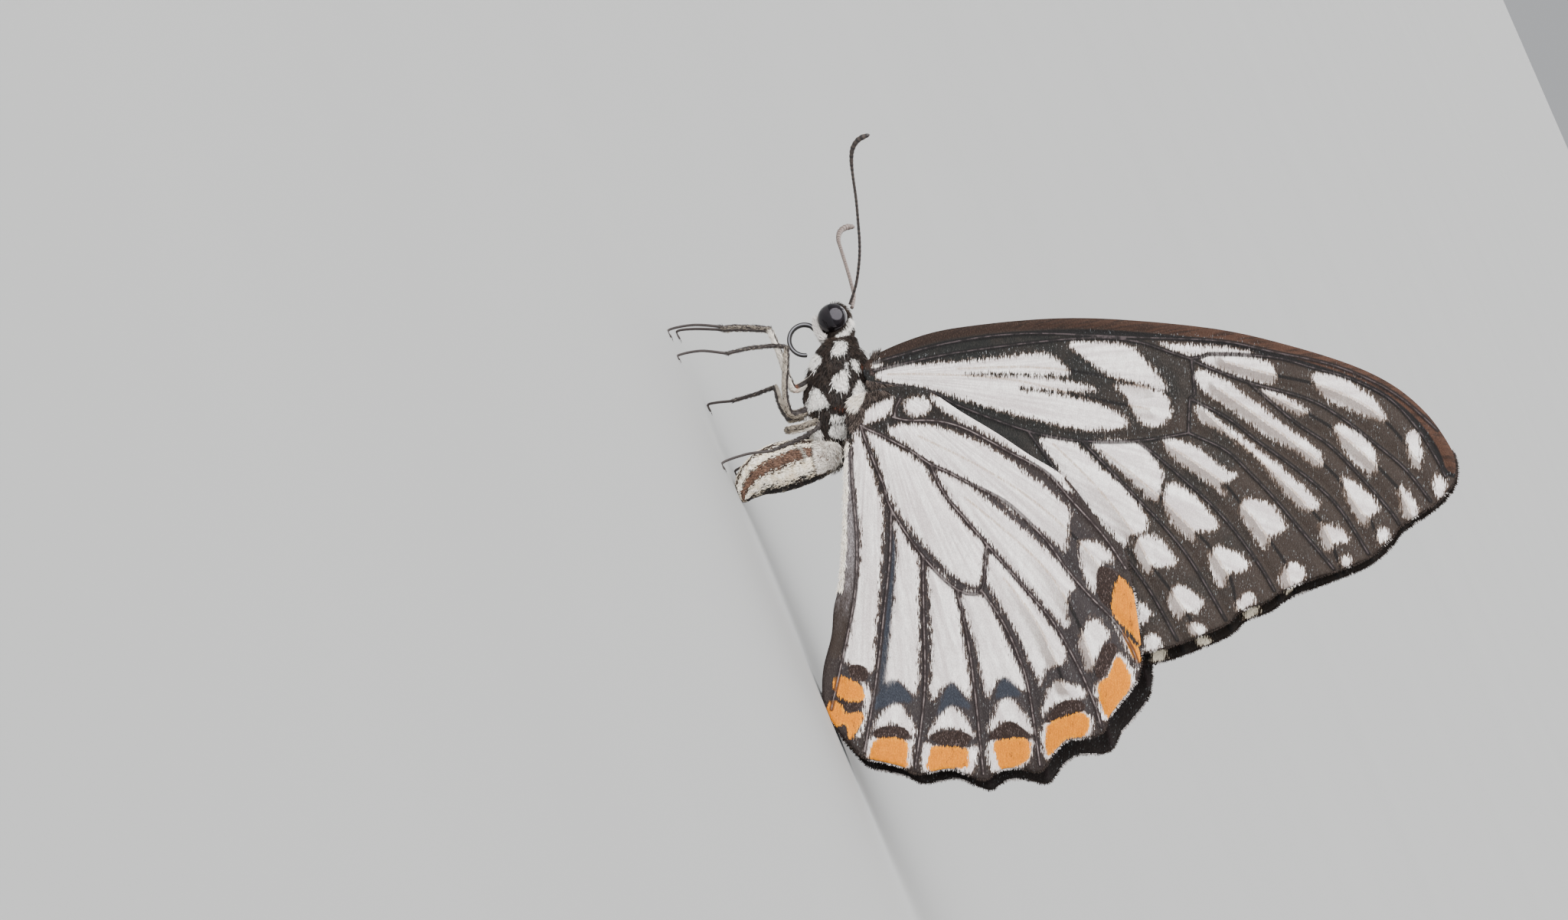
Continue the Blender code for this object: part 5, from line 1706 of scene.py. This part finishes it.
def make_palps(rng):
    """The two scaled palps."""
    f = Finish("palp", roughness=0.7)
    f.colour(f.mix(f.noise(f.place(), 3000.0), CHALK, PALP_GREY))
    for name, side in SIDES:
        rows = [at(px, py) + (0, side * PALP_SIDE, 0) for px, py in PALP]
        line = rounded(rows, FINE_STEP, closed=False)
        radius = PALP_RADIUS * round_ends(np.linspace(0, 1, len(line)), 0.12)
        piece = tube(f"palp_{name}_skin", line, radius, radius, 16)
        keep(piece, white=np.full(len(piece.data.vertices), 0.4))
        done(piece, f.material, "palp_scales", f"palp_{name}")
        coat(f"palp_{name}_scales", piece, everywhere, 900, (0.2, 0.45), 0.05, 20, f.material,
             rng, "palp_scales")


def tongue_finish():
    """Black with fine rings and a pale line along its groove, a painted highlight."""
    f = Finish("proboscis", roughness=0.32)
    seam_highlight = f.step(f.math("ABSOLUTE", f.sum((f.value("around"), 1.0), -0.5)), 0.02, 0.055)
    f.colour(f.mix(seam_highlight, *TONGUE_COLOURS))
    f.relief(f.math("SINE", f.sum((f.value("along"), 2 * pi * TONGUE_RINGS))), TONGUE_RELIEF)
    return f.material


def make_tongue():
    """The coiled tongue."""
    turns = np.radians(TONGUE_START - TONGUE_SWEEP * np.linspace(0, 1, 90))
    loop = at(TONGUE_AT[0] + TONGUE_LOOP * np.cos(turns),
              TONGUE_AT[1] + TONGUE_LOOP * np.sin(turns))
    lead = rounded([at(*TONGUE_ROOT), loop[0]], FINE_STEP, closed=False)[:-1]
    line = np.concatenate([lead, loop])
    share = np.linspace(0, 1, len(line))
    radius = (0.235 - 0.035 * share) * MM
    radius *= round_ends(share, 0.02)
    piece = tube("proboscis_coil", line, radius, radius, 16)
    done(piece, tongue_finish(), "proboscis", "proboscis")


def make_mouth(rng):
    """The palps and the tongue between them."""
    make_palps(rng)
    make_tongue()


def leg_finish():
    """Legs mottled with pale and dark scales, with a dark line along the back of each part."""
    f = Finish("leg_scales", roughness=0.55, Sheen_Weight=0.05, Specular_IOR_Level=0.3)
    fine = f.noise(f.place(), 5200.0, 3.0)
    broad = f.noise(f.place(), 1500.0, 2.0)
    stored = f.value("pale")
    back = f.math("ABSOLUTE", f.sum((f.value("around"), 1.0), -0.5))
    line = f.both(f.step(back, 0.13, 0.07), f.step(stored, 0.3, 0.5))
    pale = f.sum((stored, 1.0), (fine, 0.8), (broad, 0.5), (f.value("strand"), 0.35),
                 (line, -0.8), -0.82)
    light = f.mix(f.step(stored, 0.6, 0.9), *LEG_LIGHT)
    surface = f.mix(f.step(pale, 0.32, 0.62), f.mix(fine, *LEG_DARK), light)
    f.colour(f.mix(f.step(f.value("joint"), 0.3, 0.8), surface, JOINT_RED))
    f.relief(f.noise(f.place(), 9000.0, 2.0), BODY_RELIEF)
    return f.material


def thorn(name, root, way, shape, side):
    """A pointed spur or claw from its root, bent a little to one side of its way."""
    way = way / np.linalg.norm(way)
    across = np.cross(way, (0.0, 0.0, 1.0)) * side * shape["spread"]
    rows = [root, root + (way + across * 0.5) * shape["length"] * 0.5,
            root + (way + across * 0.8) * shape["length"] - (0.0, 0.0, 0.05 * MM)]
    line = rounded(rows, 0.07 * MM, closed=False)
    share = np.linspace(0, 1, len(line))
    radius = shape["radius"] * (1.02 - share)
    return tube(name, line, radius, radius, 8)


def leg_rows(leg, parts, side):
    """Centres, radii and paleness along one leg, from hip to foot."""
    rows = []
    for part, way, pale in zip(LEG_PARTS, parts, LEG_PALE[leg]):
        first, last = LEG_RADII[part]
        for i, (place, off) in enumerate(way):
            x, y, z = at(place[0], place[1], side * off * MM)
            if part == "tarsus" and i >= len(way) - 2:
                z = FOOT_HEIGHT * 0.75
            radius = first + (last - first) * i / (len(way) - 1)
            rows.append((x, y, z, radius * MM, pale))
    return rows


def leg_skin(name, leg, parts, rows, finish):
    """One leg's skin from hip to foot."""
    line = rounded(rows, LEG_STEP, closed=False)
    radius = np.maximum(line[:, 3], LEG_THINNEST)
    ends = np.minimum(np.arange(len(line)), np.arange(len(line))[::-1]) / 3.0
    radius *= np.sqrt(np.clip(ends, 0.0001, 1))
    piece = tube(f"{name}_skin", line[:, :3], radius, radius, 14)
    share, steps = numbers_of(piece, "along"), np.linspace(0, 1, len(line))
    knee = np.array(rows[len(parts[0]) - 1][:3])
    away = np.linalg.norm(points_of(piece) - knee, axis=1)
    keep(piece, pale=np.interp(share, steps, line[:, 4]),
         joint=np.exp(-(away / KNEE_RED) ** 2) * (leg == "front"))
    return done(piece, finish, "leg_scales", *[f"{name}_{part}" for part in LEG_PARTS])


def leg_thorns(name, leg, parts, rows, finish):
    """The claws of one leg's foot and, but for a front leg, the spurs of its shin, as one piece."""
    places = [np.array(row[:3]) for row in rows]
    thorns = []
    shin, foot = len(rows) - len(parts[3]) - 1, len(rows) - 1
    for end, shape in ((shin, SPUR), (foot, CLAW)):
        if end == shin and leg == "front":
            continue
        way = places[end] - places[end - 1]
        if end == foot:
            way[2] = 0.0
        for side in (-1, 1):
            thorns.append(thorn(f"{name}_thorns", places[end], way, shape, side))
    choose(*thorns)
    bpy.ops.object.join()
    done(thorns[0], finish, "leg_scales")


def make_legs(rng):
    """Six legs, each one skin from hip to foot, with scales, spurs and claws."""
    finish = leg_finish()
    for side_name, legs, side in (("left", LEFT_LEGS, -1), ("right", RIGHT_LEGS, 1)):
        for leg, parts in legs.items():
            name = f"leg_{leg}_{side_name}"
            rows = leg_rows(leg, parts, side)
            piece = leg_skin(name, leg, parts, rows, finish)
            coat(f"{name}_scales", piece, above_foot, 1700, (0.14, 0.34), 0.045, 15, finish, rng,
                 "leg_scales")
            leg_thorns(name, leg, parts, rows, finish)


make_stage()
body_rng = np.random.default_rng(11)
make_wings(np.random.default_rng(5))
make_body()
make_eyes()
make_antennae()
make_mouth(body_rng)
make_legs(body_rng)
